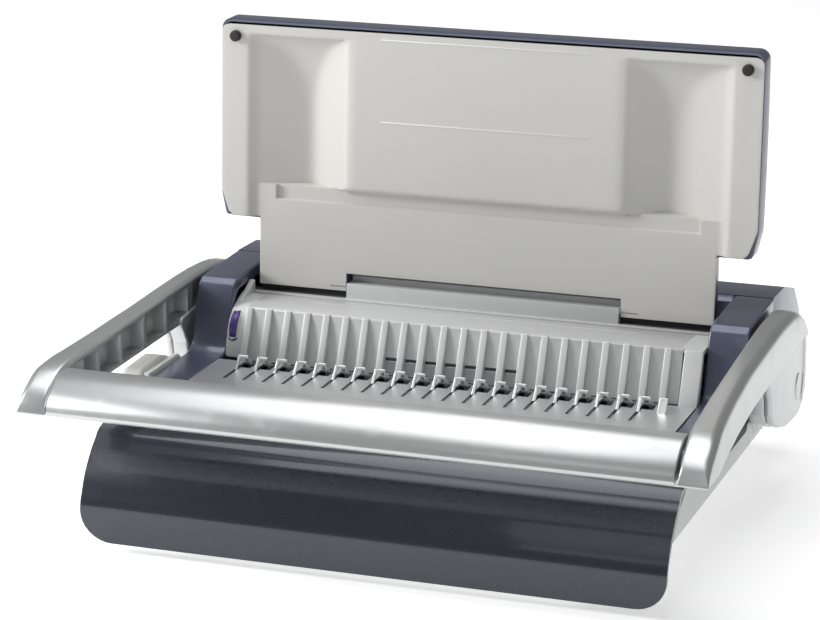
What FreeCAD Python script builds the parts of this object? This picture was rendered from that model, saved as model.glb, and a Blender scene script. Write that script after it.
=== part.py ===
"""A manual comb binding machine: a vertical-throat punch with a comb opener on top.

Millimetres. +X is the machine's right, +Y its rear, +Z up. The origin is the centre of the
machine's plan on the surface that it stands on. The lid stands open, the handle is down and
the comb hooks are closed, which is the machine's rest pose.
"""
import FreeCAD, Part
import os

import Sketcher

DOC = FreeCAD.newDocument("comb_binder")

DRIVING = {
    # whole machine
    "overall_depth": "392",
    "deck_height": "134",
    "wall": "3",
    "foot_height": "5",
    "seam": "0.3",
    "run_gap": "0.05",
    # the row of holes sets the width: 21 holes at nine sixteenths of an inch
    "hole_count": "21",
    "hole_pitch": "14.2875",
    "die_margin": "2",
    "band_gap": "18.6",
    "band_width": "26.7",
    # stations along the depth
    "panel_setback": "26",
    "hinge_setback": "127",
    "throat_setback": "52",
    "split_setback": "91",
    # depths below the top of the deck
    "throat_drop": "50",
    "sill_drop": "60",
    "hinge_drop": "9",
    "die_drop": "19.6",
    # tray
    "tray_taper": "62",
    "knee_drop": "86",
    "tray_front_inset": "8",
    # punch
    "die_thickness": "6",
    "die_depth": "20.4",
    "slot_gap": "3.5",
    "slot_setback": "13",
    "plate_thickness": "3",
    "pin_drop": "26",
    "pin_width": "8",
    "pin_depth": "3",
    "bar_thickness": "10",
    "punch_travel": "12",
    "rod_radius": "2.5",
    "rod_drop": "33",
    "rod_inset": "32",
    # handle
    "pivot_setback": "112",
    "pivot_drop": "49",
    "shaft_radius": "7",
    "bush_radius": "10",
    "arm_gap": "2",
    "arm_width": "19",
    "arm_flare": "31.2",
    "core_radius": "7",
    "core_wall": "1.5",
    # lid
    "lid_inset": "3.5",
    "neck_gap": "5.6",
    "lid_length": "188",
    "wing_drop": "141.5",
    "lid_lean": "10",
    "lid_depth": "15",
    "notch_width": "200",
    "hinge_pin_radius": "2",
    "stop_radius": "4",
    # comb opener
    "hook_offset": "6.6",
    "hook_width": "2",
    "hook_depth": "3",
    "hook_rise": "11",
    "hook_reach": "9",
    "hook_travel": "20",
    "comb_plate_thickness": "1.5",
    "carriage_drop": "8",
    "carriage_depth": "17",
    "carriage_height": "10",
    "rail_radius": "3",
    "lever_drop": "30",
    "lever_shaft_radius": "4",
    # drawer
    "drawer_length": "259",
    "drawer_depth": "70",
    "drawer_height": "28",
    # depth stop
    "wheel_radius": "12.5",
    "wheel_width": "7",
    "wheel_drop": "34",
    "wheel_shaft_radius": "2",
    "cam_radius": "4.5",
    "cam_offset": "1.5",
}

SHEET = DOC.addObject("Spreadsheet::Sheet", "dims")
for row, (alias, text) in enumerate(DRIVING.items(), start=1):
    SHEET.set(f"A{row}", alias)
    SHEET.set(f"B{row}", text)
    SHEET.setAlias(f"B{row}", alias)
DOC.recompute()


class Size:
    """A length with its number and the sheet formula that it comes from."""

    def __init__(self, formula, number):
        self.formula = formula
        self.number = number

    @staticmethod
    def of(value):
        return value if isinstance(value, Size) else Size(repr(float(value)), float(value))

    def _join(self, sign, other, number):
        return Size(f"({self.formula} {sign} {other.formula})", number)

    def __add__(self, other):
        other = Size.of(other)
        return self._join("+", other, self.number + other.number)

    def __sub__(self, other):
        other = Size.of(other)
        return self._join("-", other, self.number - other.number)

    def __mul__(self, other):
        other = Size.of(other)
        return self._join("*", other, self.number * other.number)

    def __truediv__(self, other):
        other = Size.of(other)
        return self._join("/", other, self.number / other.number)

    def __neg__(self):
        return Size(f"(0 - {self.formula})", -self.number)

    def __radd__(self, other):
        return Size.of(other) + self

    def __rsub__(self, other):
        return Size.of(other) - self

    def __rmul__(self, other):
        return Size.of(other) * self


class Dims:
    """The sheet's driving dimensions as Size values."""

    def __getattr__(self, alias):
        return Size(f"dims.{alias}", float(SHEET.get(alias)))


class Circle:
    """A round outline in a sketch."""

    def __init__(self, across, up, radius):
        self.centre = (across, up)
        self.radius = radius


def rectangle(left, low, right, high):
    """Four corners, for a sketch."""
    return [(left, low), (right, low), (right, high), (left, high)]


def bind(target, path, value):
    """Give a property its number, bound to the sheet where it comes from the sheet."""
    value = Size.of(value)
    if "dims." in value.formula:
        target.setExpression(path, value.formula)
    return value.number


PLANES = {"x": "YZ_Plane", "y": "XZ_Plane", "z": "XY_Plane"}
PIECES = {}


class Piece:
    """One physical piece: a PartDesign body built up from padded and cut outlines."""

    def __init__(self, label):
        self.body = DOC.addObject("PartDesign::Body", label)
        self.body.Label = label
        self.count = 0
        PIECES[label] = self.body

    def _origin(self, role):
        return next(item for item in self.body.Origin.OriginFeatures if item.Role == role)

    def _sketch(self, axis, loops, start, end):
        """Outlines across an axis, at the end from which the feature grows."""
        self.count += 1
        sketch = self.body.newObject("Sketcher::SketchObject", f"{self.body.Label}_sketch")
        sketch.AttachmentSupport = (self._origin(PLANES[axis]), [""])
        sketch.MapMode = "FlatFace"
        # the XZ plane looks along -Y, so a feature across Y grows from its rear end
        offset = -Size.of(end) if axis == "y" else Size.of(start)
        sketch.AttachmentOffset = FreeCAD.Placement(
            FreeCAD.Vector(0, 0, offset.number), FreeCAD.Rotation())
        bind(sketch, "AttachmentOffset.Base.z", offset)
        for loop in loops:
            if isinstance(loop, Circle):
                self._circle(sketch, loop)
            else:
                self._polygon(sketch, loop)
        return sketch

    @staticmethod
    def _pin_point(sketch, geometry, point, place):
        """Fix a point of a sketch at its distances from the sketch's origin."""
        for kind, value in zip(("DistanceX", "DistanceY"), place):
            value = Size.of(value)
            index = sketch.addConstraint(
                Sketcher.Constraint(kind, -1, 1, geometry, point, value.number))
            bind(sketch, f"Constraints[{index}]", value)

    def _circle(self, sketch, circle):
        across, up = (Size.of(value).number for value in circle.centre)
        radius = Size.of(circle.radius)
        index = sketch.addGeometry(Part.Circle(
            FreeCAD.Vector(across, up, 0), FreeCAD.Vector(0, 0, 1), radius.number))
        self._pin_point(sketch, index, 3, circle.centre)
        size = sketch.addConstraint(Sketcher.Constraint("Radius", index, radius.number))
        bind(sketch, f"Constraints[{size}]", radius)

    def _polygon(self, sketch, points):
        corners = [FreeCAD.Vector(Size.of(a).number, Size.of(b).number, 0) for a, b in points]
        following = corners[1:] + corners[:1]
        first = sketch.GeometryCount
        for here, there in zip(corners, following):
            sketch.addGeometry(Part.LineSegment(here, there))
        total = len(corners)
        for step in range(total):
            after = first + (step + 1) % total
            sketch.addConstraint(Sketcher.Constraint("Coincident", first + step, 2, after, 1))
            self._pin_point(sketch, first + step, 1, points[step])

    def _grow(self, kind, axis, loops, start, end):
        sketch = self._sketch(axis, loops, start, end)
        feature = self.body.newObject(f"PartDesign::{kind}", f"{self.body.Label}_{kind.lower()}")
        feature.Profile = sketch
        length = Size.of(end) - Size.of(start)
        feature.Length = length.number
        bind(feature, "Length", length)
        return feature

    def pad(self, axis, loops, start, end):
        """Add outlines that run along an axis from start to end."""
        return self._grow("Pad", axis, loops, start, end)

    def cut(self, axis, loops, start, end):
        """Cut outlines along an axis from start to end."""
        DOC.recompute()
        before = self.body.Shape.Volume
        feature = self._grow("Pocket", axis, loops, start, end)
        feature.Reversed = True
        DOC.recompute()
        if self.body.Shape.Volume >= before - 1e-6:
            raise ValueError(f"a cut removes nothing from {self.body.Label}")
        return feature

    def repeat(self, feature, count):
        """Repeat a feature to the right, at the pitch of the holes."""
        pattern = self.body.newObject("PartDesign::LinearPattern", f"{self.body.Label}_row")
        pattern.Originals = [feature]
        pattern.Direction = (self._origin("X_Axis"), [""])
        length = d.hole_pitch * (count - 1)
        pattern.Length = length.number
        bind(pattern, "Length", length)
        pattern.Occurrences = int(Size.of(count).number)
        bind(pattern, "Occurrences", count)
        self.body.Tip = pattern
        return pattern

    def soften(self, radius, chosen):
        """Round the edges whose middle point the chooser accepts."""
        DOC.recompute()
        tip = self.body.Tip
        names = []
        for index, edge in enumerate(tip.Shape.Edges, start=1):
            middle = edge.valueAt((edge.FirstParameter + edge.LastParameter) / 2)
            if chosen(edge, middle):
                names.append(f"Edge{index}")
        if not names:
            raise ValueError(f"no edge to round on {self.body.Label}")
        fillet = self.body.newObject("PartDesign::Fillet", f"{self.body.Label}_round")
        fillet.Base = (tip, names)
        fillet.Radius = Size.of(radius).number
        bind(fillet, "Radius", radius)
        return fillet


def runs_along(edge, axis):
    """Whether a straight edge runs along one axis."""
    if edge.Curve.TypeId != "Part::GeomLine":
        return False
    return abs(getattr(edge.Curve.Direction, axis)) > 0.999


d = Dims()

# stations that several pieces share
front = -d.overall_depth / 2
rear = d.overall_depth / 2
panel = front + d.panel_setback
hinge = rear - d.hinge_setback
throat = hinge - d.throat_setback
split = rear - d.split_setback
slot_front = hinge - d.slot_setback
slot_rear = slot_front + d.slot_gap
bar_front = slot_rear + d.die_thickness + 8.5
bar_rear = bar_front + d.bar_thickness
pivot = rear - d.pivot_setback
lever_pivot = throat + 12
comb_front = throat - 79
comb_rear = throat - 15
hook_front = throat - 26
wall_top = hinge - 34

# levels, all hung from the top of the deck
deck = d.deck_height
throat_level = deck - d.throat_drop
sill = deck - d.sill_drop
hinge_level = deck - d.hinge_drop
die_top = deck - d.die_drop
die_bottom = die_top - d.die_depth
pin_level = deck - d.pin_drop
rod_level = deck - d.rod_drop
pivot_level = deck - d.pivot_drop
wheel_level = deck - d.wheel_drop
lever_level = throat_level - d.lever_drop
knee = deck - d.knee_drop
floor = d.foot_height + d.wall

# half widths, worked out from the row of holes
row_half = d.hole_pitch * (d.hole_count - 1) / 2
die_half = d.hole_pitch * d.hole_count / 2 + d.die_margin
band_inner = die_half + d.band_gap
half_body = band_inner + d.band_width
side_inner = half_body - d.wall
centre_half = band_inner - d.seam
tray_bottom = half_body - d.tray_taper
rod_place = die_half - d.rod_inset
first_hook = -row_half - d.hook_offset
plate_outer = die_half + d.plate_thickness
plate_foot = floor + 24


def tray_side(height):
    """Half width of the tray's undercut outer side at a height below its knee."""
    rise = (height - d.foot_height) / (knee - d.foot_height)
    return tray_bottom + d.tray_taper * rise


def tray_underside(half):
    """Height of the tray's undercut outer side at a half width."""
    return d.foot_height + (knee - d.foot_height) * ((half - tray_bottom) / d.tray_taper)


# ---------------------------------------------------------------- housing

def front_inner_line():
    """Inner line of the front cover, one wall behind its outer line."""
    return [(panel + 2 + d.wall, 6), (panel + d.wall, 28), (panel + d.wall + 4, 39),
            (panel + d.wall + 9, 48.5), (panel + d.wall + 15, 56.5),
            (panel + d.wall + 23, 64.5), (panel + 42, sill - 1),
            (comb_front - d.seam, throat_level - 4)]


def build_base_tray():
    """Light tub with undercut sides that carries the mechanism and the drawer."""
    tray = Piece("base_tray")
    y_front = panel + d.tray_front_inset
    y_rear = rear - d.wall - d.seam
    tray.pad("y", [[(-tray_bottom, d.foot_height), (tray_bottom, d.foot_height), (half_body, knee),
                    (half_body, sill), (-half_body, sill), (-half_body, knee)]], y_front, y_rear)
    lower = tray_bottom - d.wall
    tray.cut("y", [[(-lower, floor), (lower, floor), (side_inner, knee + 1.5), (side_inner, sill),
                    (-side_inner, sill), (-side_inner, knee + 1.5)]],
             y_front + d.wall, y_rear - d.wall)
    under_panel = [(across + 2, up) for across, up in front_inner_line()[1:7]]
    under_panel += [(panel + 62, sill + 1), (panel, sill + 1), (panel, 28)]
    tray.cut("x", [under_panel], -half_body, half_body)
    post_top = plate_foot - d.seam
    for sign in (-1, 1):
        inner = sign * die_half
        outer = sign * plate_outer
        tray.pad("y", [[(inner, tray_underside(die_half) + 1), (outer, tray_underside(plate_outer) + 1),
                        (outer, post_top), (inner, post_top)]], pivot, pivot + 26)
    gap = d.wall + d.seam
    side_front = panel + 62
    side = [(side_front, sill - 1), (side_front, cover_underside(side_front) - 0.7),
            (comb_front, throat_level - 1 - gap),
            (throat + d.wall - 1, throat_level - gap - 1), (wall_top + 3, deck - 4 - gap),
            (split, deck - gap), (split, sill - 1)]
    for left, right in ((-half_body, -side_inner), (side_inner, half_body)):
        tray.pad("x", [side], left, right)
    tray.cut("x", [Circle(pivot, pivot_level, d.shaft_radius + 3)], -half_body, half_body)
    tray.cut("x", [rectangle(drawer_front_edge - d.seam, drawer_low - d.seam,
                             drawer_rear_edge + d.seam, drawer_high + d.seam)],
             tray_bottom - 10, half_body)
    tray.cut("x", [Circle(lever_pivot, lever_level, d.lever_shaft_radius + 2)],
             -half_body, -tray_bottom - 10)


shoulder = panel + 41
shoulder_level = sill + 2
cover_end = comb_front - d.seam
cover_end_level = throat_level - 0.8


def cover_underside(station):
    """Height of the front cover's inner face over the tray's side wall."""
    share = (station - shoulder) / (cover_end - shoulder)
    return shoulder_level + share * (cover_end_level - shoulder_level) - d.wall - 0.067


def front_outline():
    """Outer line of the front cover, from its foot up over the front to the throat floor."""
    return [(panel + 2, 6), (panel, 28), (panel + 4, 40), (panel + 9, 50),
            (panel + 16, 59), (panel + 25, 67.5), (shoulder, shoulder_level),
            (cover_end, cover_end_level)]


def build_front_cover():
    """Dark cover: the rounded front panel, the throat's sides and the two side bands."""
    cover = Piece("front_cover")
    outer = front_outline()
    inner = front_inner_line()
    cover.pad("x", [outer + inner[::-1]], -half_body, half_body)
    band = [(comb_front - 2, throat_level), (throat, throat_level),
            (wall_top, deck - 3), (split, deck),
            (split, deck - d.wall), (wall_top + 2, deck - 3 - d.wall),
            (throat + d.wall - 1, throat_level - d.wall),
            (comb_front - 2, throat_level - d.wall)]
    cheek = [(throat + 1, throat_level), (wall_top, deck - 3),
             (split, deck), (split, throat_level)]
    for left, right in ((-half_body, -band_inner), (band_inner, half_body)):
        cover.pad("x", [band], left, right)
    for left, right in ((-band_inner - d.wall, -band_inner), (band_inner, band_inner + d.wall)):
        cover.pad("x", [cheek], left, right)
    cover.cut("x", [Circle(pivot, pivot_level, d.shaft_radius + 3)], -half_body, half_body)
    cover.soften(18, lambda edge, at: runs_along(edge, "y") and at.z < 7
                 and abs(at.x) > half_body.number - 1)


def build_rear_cover():
    """Dark cover behind the deck, down to the rear foot."""
    cover = Piece("rear_cover")
    start = split + d.seam
    outer = [(start, deck), (rear - 56, deck - 1), (rear - 24, deck - 10),
             (rear - 6, deck - 30), (rear, sill), (rear, sill - 4)]
    inner = [(start, deck - d.wall), (rear - 57, deck - 1 - d.wall),
             (rear - 26, deck - 12.5), (rear - 6 - d.wall, deck - 31),
             (rear - d.wall, sill), (rear - d.wall, sill - 4)]
    cover.pad("x", [outer + inner[::-1]], -half_body, half_body)
    flank = outer[:5] + [(start, sill + d.seam)]
    for left, right in ((-half_body, -side_inner), (side_inner, half_body)):
        cover.pad("x", [flank], left, right)


def guide_line():
    """Hollow front line of the finned wall, from its foot to the deck."""
    return [(throat - 3, deck - 54), (throat - 2, deck - 42), (throat + 2, deck - 30),
            (throat + 10, deck - 21.5), (throat + 17, deck - 17.5), (slot_front - d.seam, deck - 16)]


def build_punch_guide():
    """Light insert: hollow finned wall behind the comb and the deck in front of the slot."""
    guide = Piece("punch_guide")
    line = guide_line()
    back = [(throat, deck - 55), (throat + 1.2, deck - 42.6), (throat + 4.8, deck - 31.4),
            (throat + 12, deck - 24.1), (throat + 18, deck - 20.5), (slot_front - d.seam, deck - 19)]
    foot = [(throat - 14, deck - 55), (throat - 14, deck - 52), (throat - 3, deck - 52)]
    guide.pad("x", [foot + line[1:] + back[::-1]],
              -centre_half, centre_half)
    fin = [(throat - 13, deck - 52.5), (throat + 12, deck - 18), (throat + 17, deck - 17.5),
           (throat + 10, deck - 22), (throat + 2.5, deck - 30.5), (throat - 1.5, deck - 42.5),
           (throat - 2.5, deck - 52.5)]
    first_fin = first_hook - 5.5
    row = guide.pad("x", [fin], first_fin - 1, first_fin + 1)
    guide.repeat(row, d.hole_count + 2)
    window = first_fin + 7.5 * d.hole_pitch
    hole = guide.cut("y", [rectangle(window - 4, deck - 49.5, window + 4, deck - 41)],
                     throat - 4, throat + 4)
    guide.repeat(hole, 7)
    guide.cut("x", [rectangle(throat - 6, wheel_level - d.wheel_radius - 0.5,
                              throat + 20, wheel_level + d.wheel_radius + 0.5)],
              wheel_left - 0.6, wheel_left + d.wheel_width + 0.6)


def build_rear_deck():
    """Dark trough under the lid's hinge, up to the rear cover."""
    trough = Piece("rear_deck")
    low = die_top - 2.7
    start = slot_rear + d.die_thickness + 0.5 + d.seam
    trough.pad("x", [[(start, low), (start, low + d.wall), (hinge + 21, low + d.wall),
                    (hinge + 29, deck - 3), (split, deck),
                    (split, deck - d.wall), (hinge + 31, deck - 5.6),
                    (hinge + 23, low)]], -centre_half, centre_half)


def build_hinge_block():
    """Raised step in the lid's notch that holds the hinge pins."""
    block = Piece("hinge_block")
    half = d.notch_width / 2 - 1
    low = die_top + d.seam
    block.pad("x", [[(hinge - 4.7, low), (hinge - 3, hinge_level + 2.7),
                     (hinge + 7, hinge_level + 2.7), (hinge + 7, low)]], -half, half)
    for left, right in ((-half, -half + 12), (half - 12, half)):
        block.cut("x", [Circle(hinge, hinge_level, d.hinge_pin_radius)], left, right)


def build_hinge_pins():
    """Two steel pins from the hinge block into the lid's tabs."""
    pins = Piece("hinge_pins")
    half = d.notch_width / 2 - 1
    outline = [Circle(hinge, hinge_level, d.hinge_pin_radius)]
    pins.pad("x", outline, -half - 13, -half + 12)
    pins.pad("x", outline, half - 12, half + 13)


def build_feet():
    """Four rubber feet."""
    feet = Piece("feet")
    spots = [Circle(side * (tray_bottom - 17), place, 8)
             for side in (-1, 1) for place in (panel + 40, rear - 46)]
    feet.pad("z", spots, 0, d.foot_height)


def build_base_screws():
    """Six screw heads under the tray."""
    screws = Piece("base_screws")
    spots = [Circle(side * (tray_bottom - 41), place, 3.5)
             for side in (-1, 1) for place in (panel + 60, hinge - 60, rear - 60)]
    screws.pad("z", spots, d.foot_height - 2, d.foot_height)


# ---------------------------------------------------------------- punch

def build_punch_frame():
    """Side plates, die plates, rear bar, guide rods and shaft bushes."""
    inside = die_half
    outside = plate_outer
    tail = pivot + 28
    shoulder = throat_level - 8
    knee = lever_level - 8
    profile = [(pivot - 2, plate_foot), (tail, plate_foot), (tail, die_top - 4), (slot_front - 10, die_top - 4),
               (slot_front - 16, shoulder), (lever_pivot - 9, shoulder),
               (lever_pivot - 9, knee), (pivot - 2, knee)]
    for label, left, right in (("side_plate_left", -outside, -inside),
                               ("side_plate_right", inside, outside)):
        plate = Piece(label)
        plate.pad("x", [profile], left, right)
        plate.cut("x", [Circle(pivot, pivot_level, d.bush_radius),
                        Circle(lever_pivot, lever_level, d.lever_shaft_radius + d.run_gap)],
                  left, right)
    for label, start, gap in (("front_die_plate", slot_front - d.die_thickness, 0.1),
                              ("rear_guide_plate", slot_rear, d.run_gap)):
        plate = Piece(label)
        deep = start + d.die_thickness
        plate.pad("x", [rectangle(start, die_bottom, deep, die_top)], -inside, inside)
        hole = plate.cut("y", [rectangle(
            -row_half - d.pin_width / 2 - gap, pin_level - d.pin_depth / 2 - gap,
            -row_half + d.pin_width / 2 + gap, pin_level + d.pin_depth / 2 + gap)],
            start, deep)
        plate.repeat(hole, d.hole_count)
        if label == "rear_guide_plate":
            plate.cut("y", [Circle(-rod_place, rod_level, d.rod_radius),
                            Circle(rod_place, rod_level, d.rod_radius)], start, deep)
    cross = Piece("rear_crossbar")
    cross.pad("x", [rectangle(tail - 6, rod_level - 5, tail, die_top - 4)], -inside, inside)
    rods_at = [Circle(-rod_place, rod_level, d.rod_radius),
               Circle(rod_place, rod_level, d.rod_radius)]
    cross.cut("y", rods_at, tail - 6, tail)
    rods = Piece("guide_rods")
    rods.pad("y", rods_at, slot_rear, tail)
    bushes = Piece("shaft_bushes")
    for left, right in ((-outside - 3, -inside), (inside, outside + 3)):
        bushes.pad("x", [Circle(pivot, pivot_level, d.bush_radius)], left, right)
    bushes.cut("x", [Circle(pivot, pivot_level, d.shaft_radius + d.run_gap)],
               -outside - 3, outside + 3)
    screws = Piece("frame_screws")
    spots = [Circle(place, pin_level - 4, 2.6) for place in (
        slot_front - d.die_thickness / 2, slot_rear + d.die_thickness / 2, tail - 3)]
    for left, right in ((-outside - 2, -outside), (outside, outside + 2)):
        screws.pad("x", spots, left, right)


def build_punch():
    """Punch bar with its 21 pins, and the springs that push it back."""
    bar = Piece("punch_bar")
    bar.pad("x", [rectangle(bar_front, rod_level - 4, bar_rear, die_top - 4)],
            -die_half + 2, die_half - 2)
    bar.cut("y", [Circle(-rod_place, rod_level, d.rod_radius + d.run_gap),
                  Circle(rod_place, rod_level, d.rod_radius + d.run_gap)],
            bar_front, bar_rear)
    pins = Piece("punch_pins")
    pin = pins.pad("y", [rectangle(
        -row_half - d.pin_width / 2, pin_level - d.pin_depth / 2,
        -row_half + d.pin_width / 2, pin_level + d.pin_depth / 2)],
        slot_rear + 0.5 - d.punch_travel, bar_front)
    pins.repeat(pin, d.hole_count)
    springs = Piece("return_springs")
    spring_start = slot_rear + d.die_thickness
    for place in (-rod_place, rod_place):
        springs.pad("y", [Circle(place, rod_level, d.rod_radius + 2)], spring_start, bar_front)
        springs.cut("y", [Circle(place, rod_level, d.rod_radius + 0.4)], spring_start, bar_front)


# ---------------------------------------------------------------- handle

def build_handle():
    """The long pull bar, its two flared arms and the shaft that they turn."""
    inner_rear = half_body + d.arm_gap
    outer_front = half_body + d.arm_flare
    outer_rear = inner_rear + d.arm_width
    inner_front = outer_front - 20
    nose = deck - 34.5
    top = [(front + 0.5, nose), (front + 2.7, nose + 7), (front + 7.7, nose + 15.5),
           (front + 15.3, nose + 20.1), (front + 30, nose + 23.9), (front + 75, deck - 7.6),
           (throat - 81, deck - 4.2), (throat - 38, deck - 2.4), (throat + 23, deck - 1),
           (hinge + 11, deck - 1), (hinge + 65, deck - 6), (hinge + 91, deck - 15),
           (hinge + 95, deck - 22), (hinge + 60, deck - 26)]
    lobe_front = pivot - 61
    lobe_rear = pivot + 41
    lobe_top = deck - 26
    lobe_low = pivot_level - 32
    bottom = [(throat + 3, lobe_top), (throat - 77, deck - 28), (front + 46, nose + 1.5),
              (front + 6, nose - 2.5)]
    lobe = rectangle(lobe_front, lobe_low, lobe_rear, lobe_top)
    core_y = front + 24
    core_z = nose + 8.5
    for side, sign in (("left", -1), ("right", 1)):
        arm = Piece(f"arm_{side}")
        reach = sorted((sign * inner_rear, sign * outer_front), key=lambda size: size.number)
        arm.pad("x", [top + bottom], *reach)
        plate = sorted((sign * inner_rear, sign * (outer_rear - 6)), key=lambda size: size.number)
        arm.pad("x", [lobe], *plate)
        arm.cut("z", [[(sign * (inner_rear - 1), pivot), (sign * (inner_rear - 1), front - 5),
                       (sign * (inner_front + 0.4), front - 5)],
                      [(sign * (outer_front + 0.2), front + 10), (sign * (outer_front + 2), front + 10),
                       (sign * (outer_front + 2), rear), (sign * outer_rear, rear),
                       (sign * outer_rear, pivot)]], lobe_low, deck)
        arm.cut("x", [Circle(pivot, pivot_level, d.shaft_radius)], *plate)
        core = sorted((sign * (inner_front - 2), sign * (inner_front + 8)),
                      key=lambda size: size.number)
        arm.cut("x", [Circle(core_y, core_z, d.core_radius)], *core)
        arm.soften(40, lambda edge, at: runs_along(edge, "x") and at.z < lobe_low.number + 1)
        cover = Piece(f"pivot_cover_{side}")
        skin = sorted((sign * (outer_rear - 6), sign * outer_rear), key=lambda size: size.number)
        cover.pad("x", [rectangle(lobe_front, lobe_low, lobe_rear, lobe_top - d.seam)], *skin)
        cover.soften(40, lambda edge, at: runs_along(edge, "x") and at.z < lobe_low.number + 1)
    shell = Piece("handle_bar")
    half_bar = inner_front - 1.4
    shell.pad("x", [[(front, nose + 1.5), (front + 3.5, nose + 9), (front + 11, nose + 15.5),
                     (front + 19, nose + 21.2), (front + 27, nose + 22.3), (front + 37, nose + 21),
                     (front + 40, nose + 12.5), (front + 38, nose - 2.5), (front + 3, nose - 2)]],
              -half_bar, half_bar)
    shell.cut("x", [Circle(core_y, core_z, d.core_radius)], -half_bar, half_bar)
    strip = Piece("bar_strip")
    strip.pad("x", [rectangle(front + 20, nose - 8.5, front + 36, nose - 2.8)],
              -half_bar + 1, half_bar - 1)
    core = Piece("bar_core")
    core.pad("x", [Circle(core_y, core_z, d.core_radius)], -inner_front - 8, inner_front + 8)
    core.cut("x", [Circle(core_y, core_z, d.core_radius - d.core_wall)], -inner_front - 8, inner_front + 8)
    shaft = Piece("drive_shaft")
    shaft.pad("x", [Circle(pivot, pivot_level, d.shaft_radius)], -outer_rear + 6, outer_rear - 6)
    cams = Piece("drive_cams")
    cam_face = bar_rear + 2 * d.seam
    cam = [(cam_face, pivot_level + 5), (cam_face, pivot_level + 20),
           (pivot + 10, pivot_level + 20), (pivot + 11, pivot_level - 4),
           (pivot + 4, pivot_level - 11), (pivot - 5, pivot_level - 10),
           (pivot - 11, pivot_level - 3), (pivot - 9, pivot_level + 6)]
    for place in (-60, 60):
        cams.pad("x", [cam], place - 4, place + 4)
    cams.cut("x", [Circle(pivot, pivot_level, d.shaft_radius)], -64, 64)


# ---------------------------------------------------------------- lid

def build_lid():
    """Open lid: dark outer shell, light liner and two rubber stops."""
    half = half_body - d.lid_inset
    neck = band_inner - d.neck_gap
    foot = hinge - 5.5
    crown = foot + d.lid_lean
    lid_bottom = hinge_level - 3
    lid_top = lid_bottom + d.lid_length
    wing_bottom = lid_top - d.wing_drop
    liner = Piece("lid_liner")
    rim = lid_top - 4
    liner.pad("x", [[(foot, lid_bottom), (crown, rim), (crown + d.wall, rim),
                     (foot + d.wall, lid_bottom)]], -half + 2, half - 2)
    shell = Piece("lid_shell")
    back = crown + d.lid_depth
    outer = [(foot + d.wall, lid_bottom), (crown + d.wall, rim), (crown, rim),
             (crown + 0.3, lid_top), (crown + 8, lid_top), (back - 3, lid_top - 20),
             (back, lid_top - 70), (back - 5, wing_bottom), (hinge + 11, lid_bottom + 12),
             (hinge + 8, lid_bottom)]
    shell.pad("x", [outer], -half, half)
    shell.cut("x", [[(crown + d.wall, rim - 4), (crown + 7, rim - 4), (back - 6, lid_top - 23),
                     (back - d.wall, lid_top - 70), (back - 8, wing_bottom + 3),
                     (foot + d.wall + 3, wing_bottom + 3)]], -half + d.wall, half - d.wall)
    shell.cut("x", [[(foot + d.wall + 1.5, lid_bottom + 18), (foot + d.wall + 3, wing_bottom + 3),
                     (back - 8, wing_bottom + 3), (hinge + 9, lid_bottom + 18)]],
              -neck + d.wall, neck - d.wall)
    for piece in (liner, shell):
        for left, right in ((-half - 1, -neck), (neck, half + 1)):
            piece.cut("y", [rectangle(left, lid_bottom - 1, right, wing_bottom)],
                      foot - 5, back + 5)
        piece.cut("y", [rectangle(-d.notch_width / 2, lid_bottom - 1,
                                  d.notch_width / 2, lid_bottom + 12.7)], foot - 5, back + 5)
    pin_hole = [Circle(hinge, hinge_level, d.hinge_pin_radius + d.run_gap)]
    shell.cut("x", pin_hole, -d.notch_width / 2 - 14, -d.notch_width / 2)
    shell.cut("x", pin_hole, d.notch_width / 2, d.notch_width / 2 + 14)
    stops = Piece("lid_stops")
    face = crown - d.lid_lean * 12 / d.lid_length
    stops.pad("y", [Circle(-half + 11, lid_top - 12, d.stop_radius),
                    Circle(half - 11, lid_top - 12, d.stop_radius)], face - 5, face - 0.2)


# ---------------------------------------------------------------- comb opener

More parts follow.
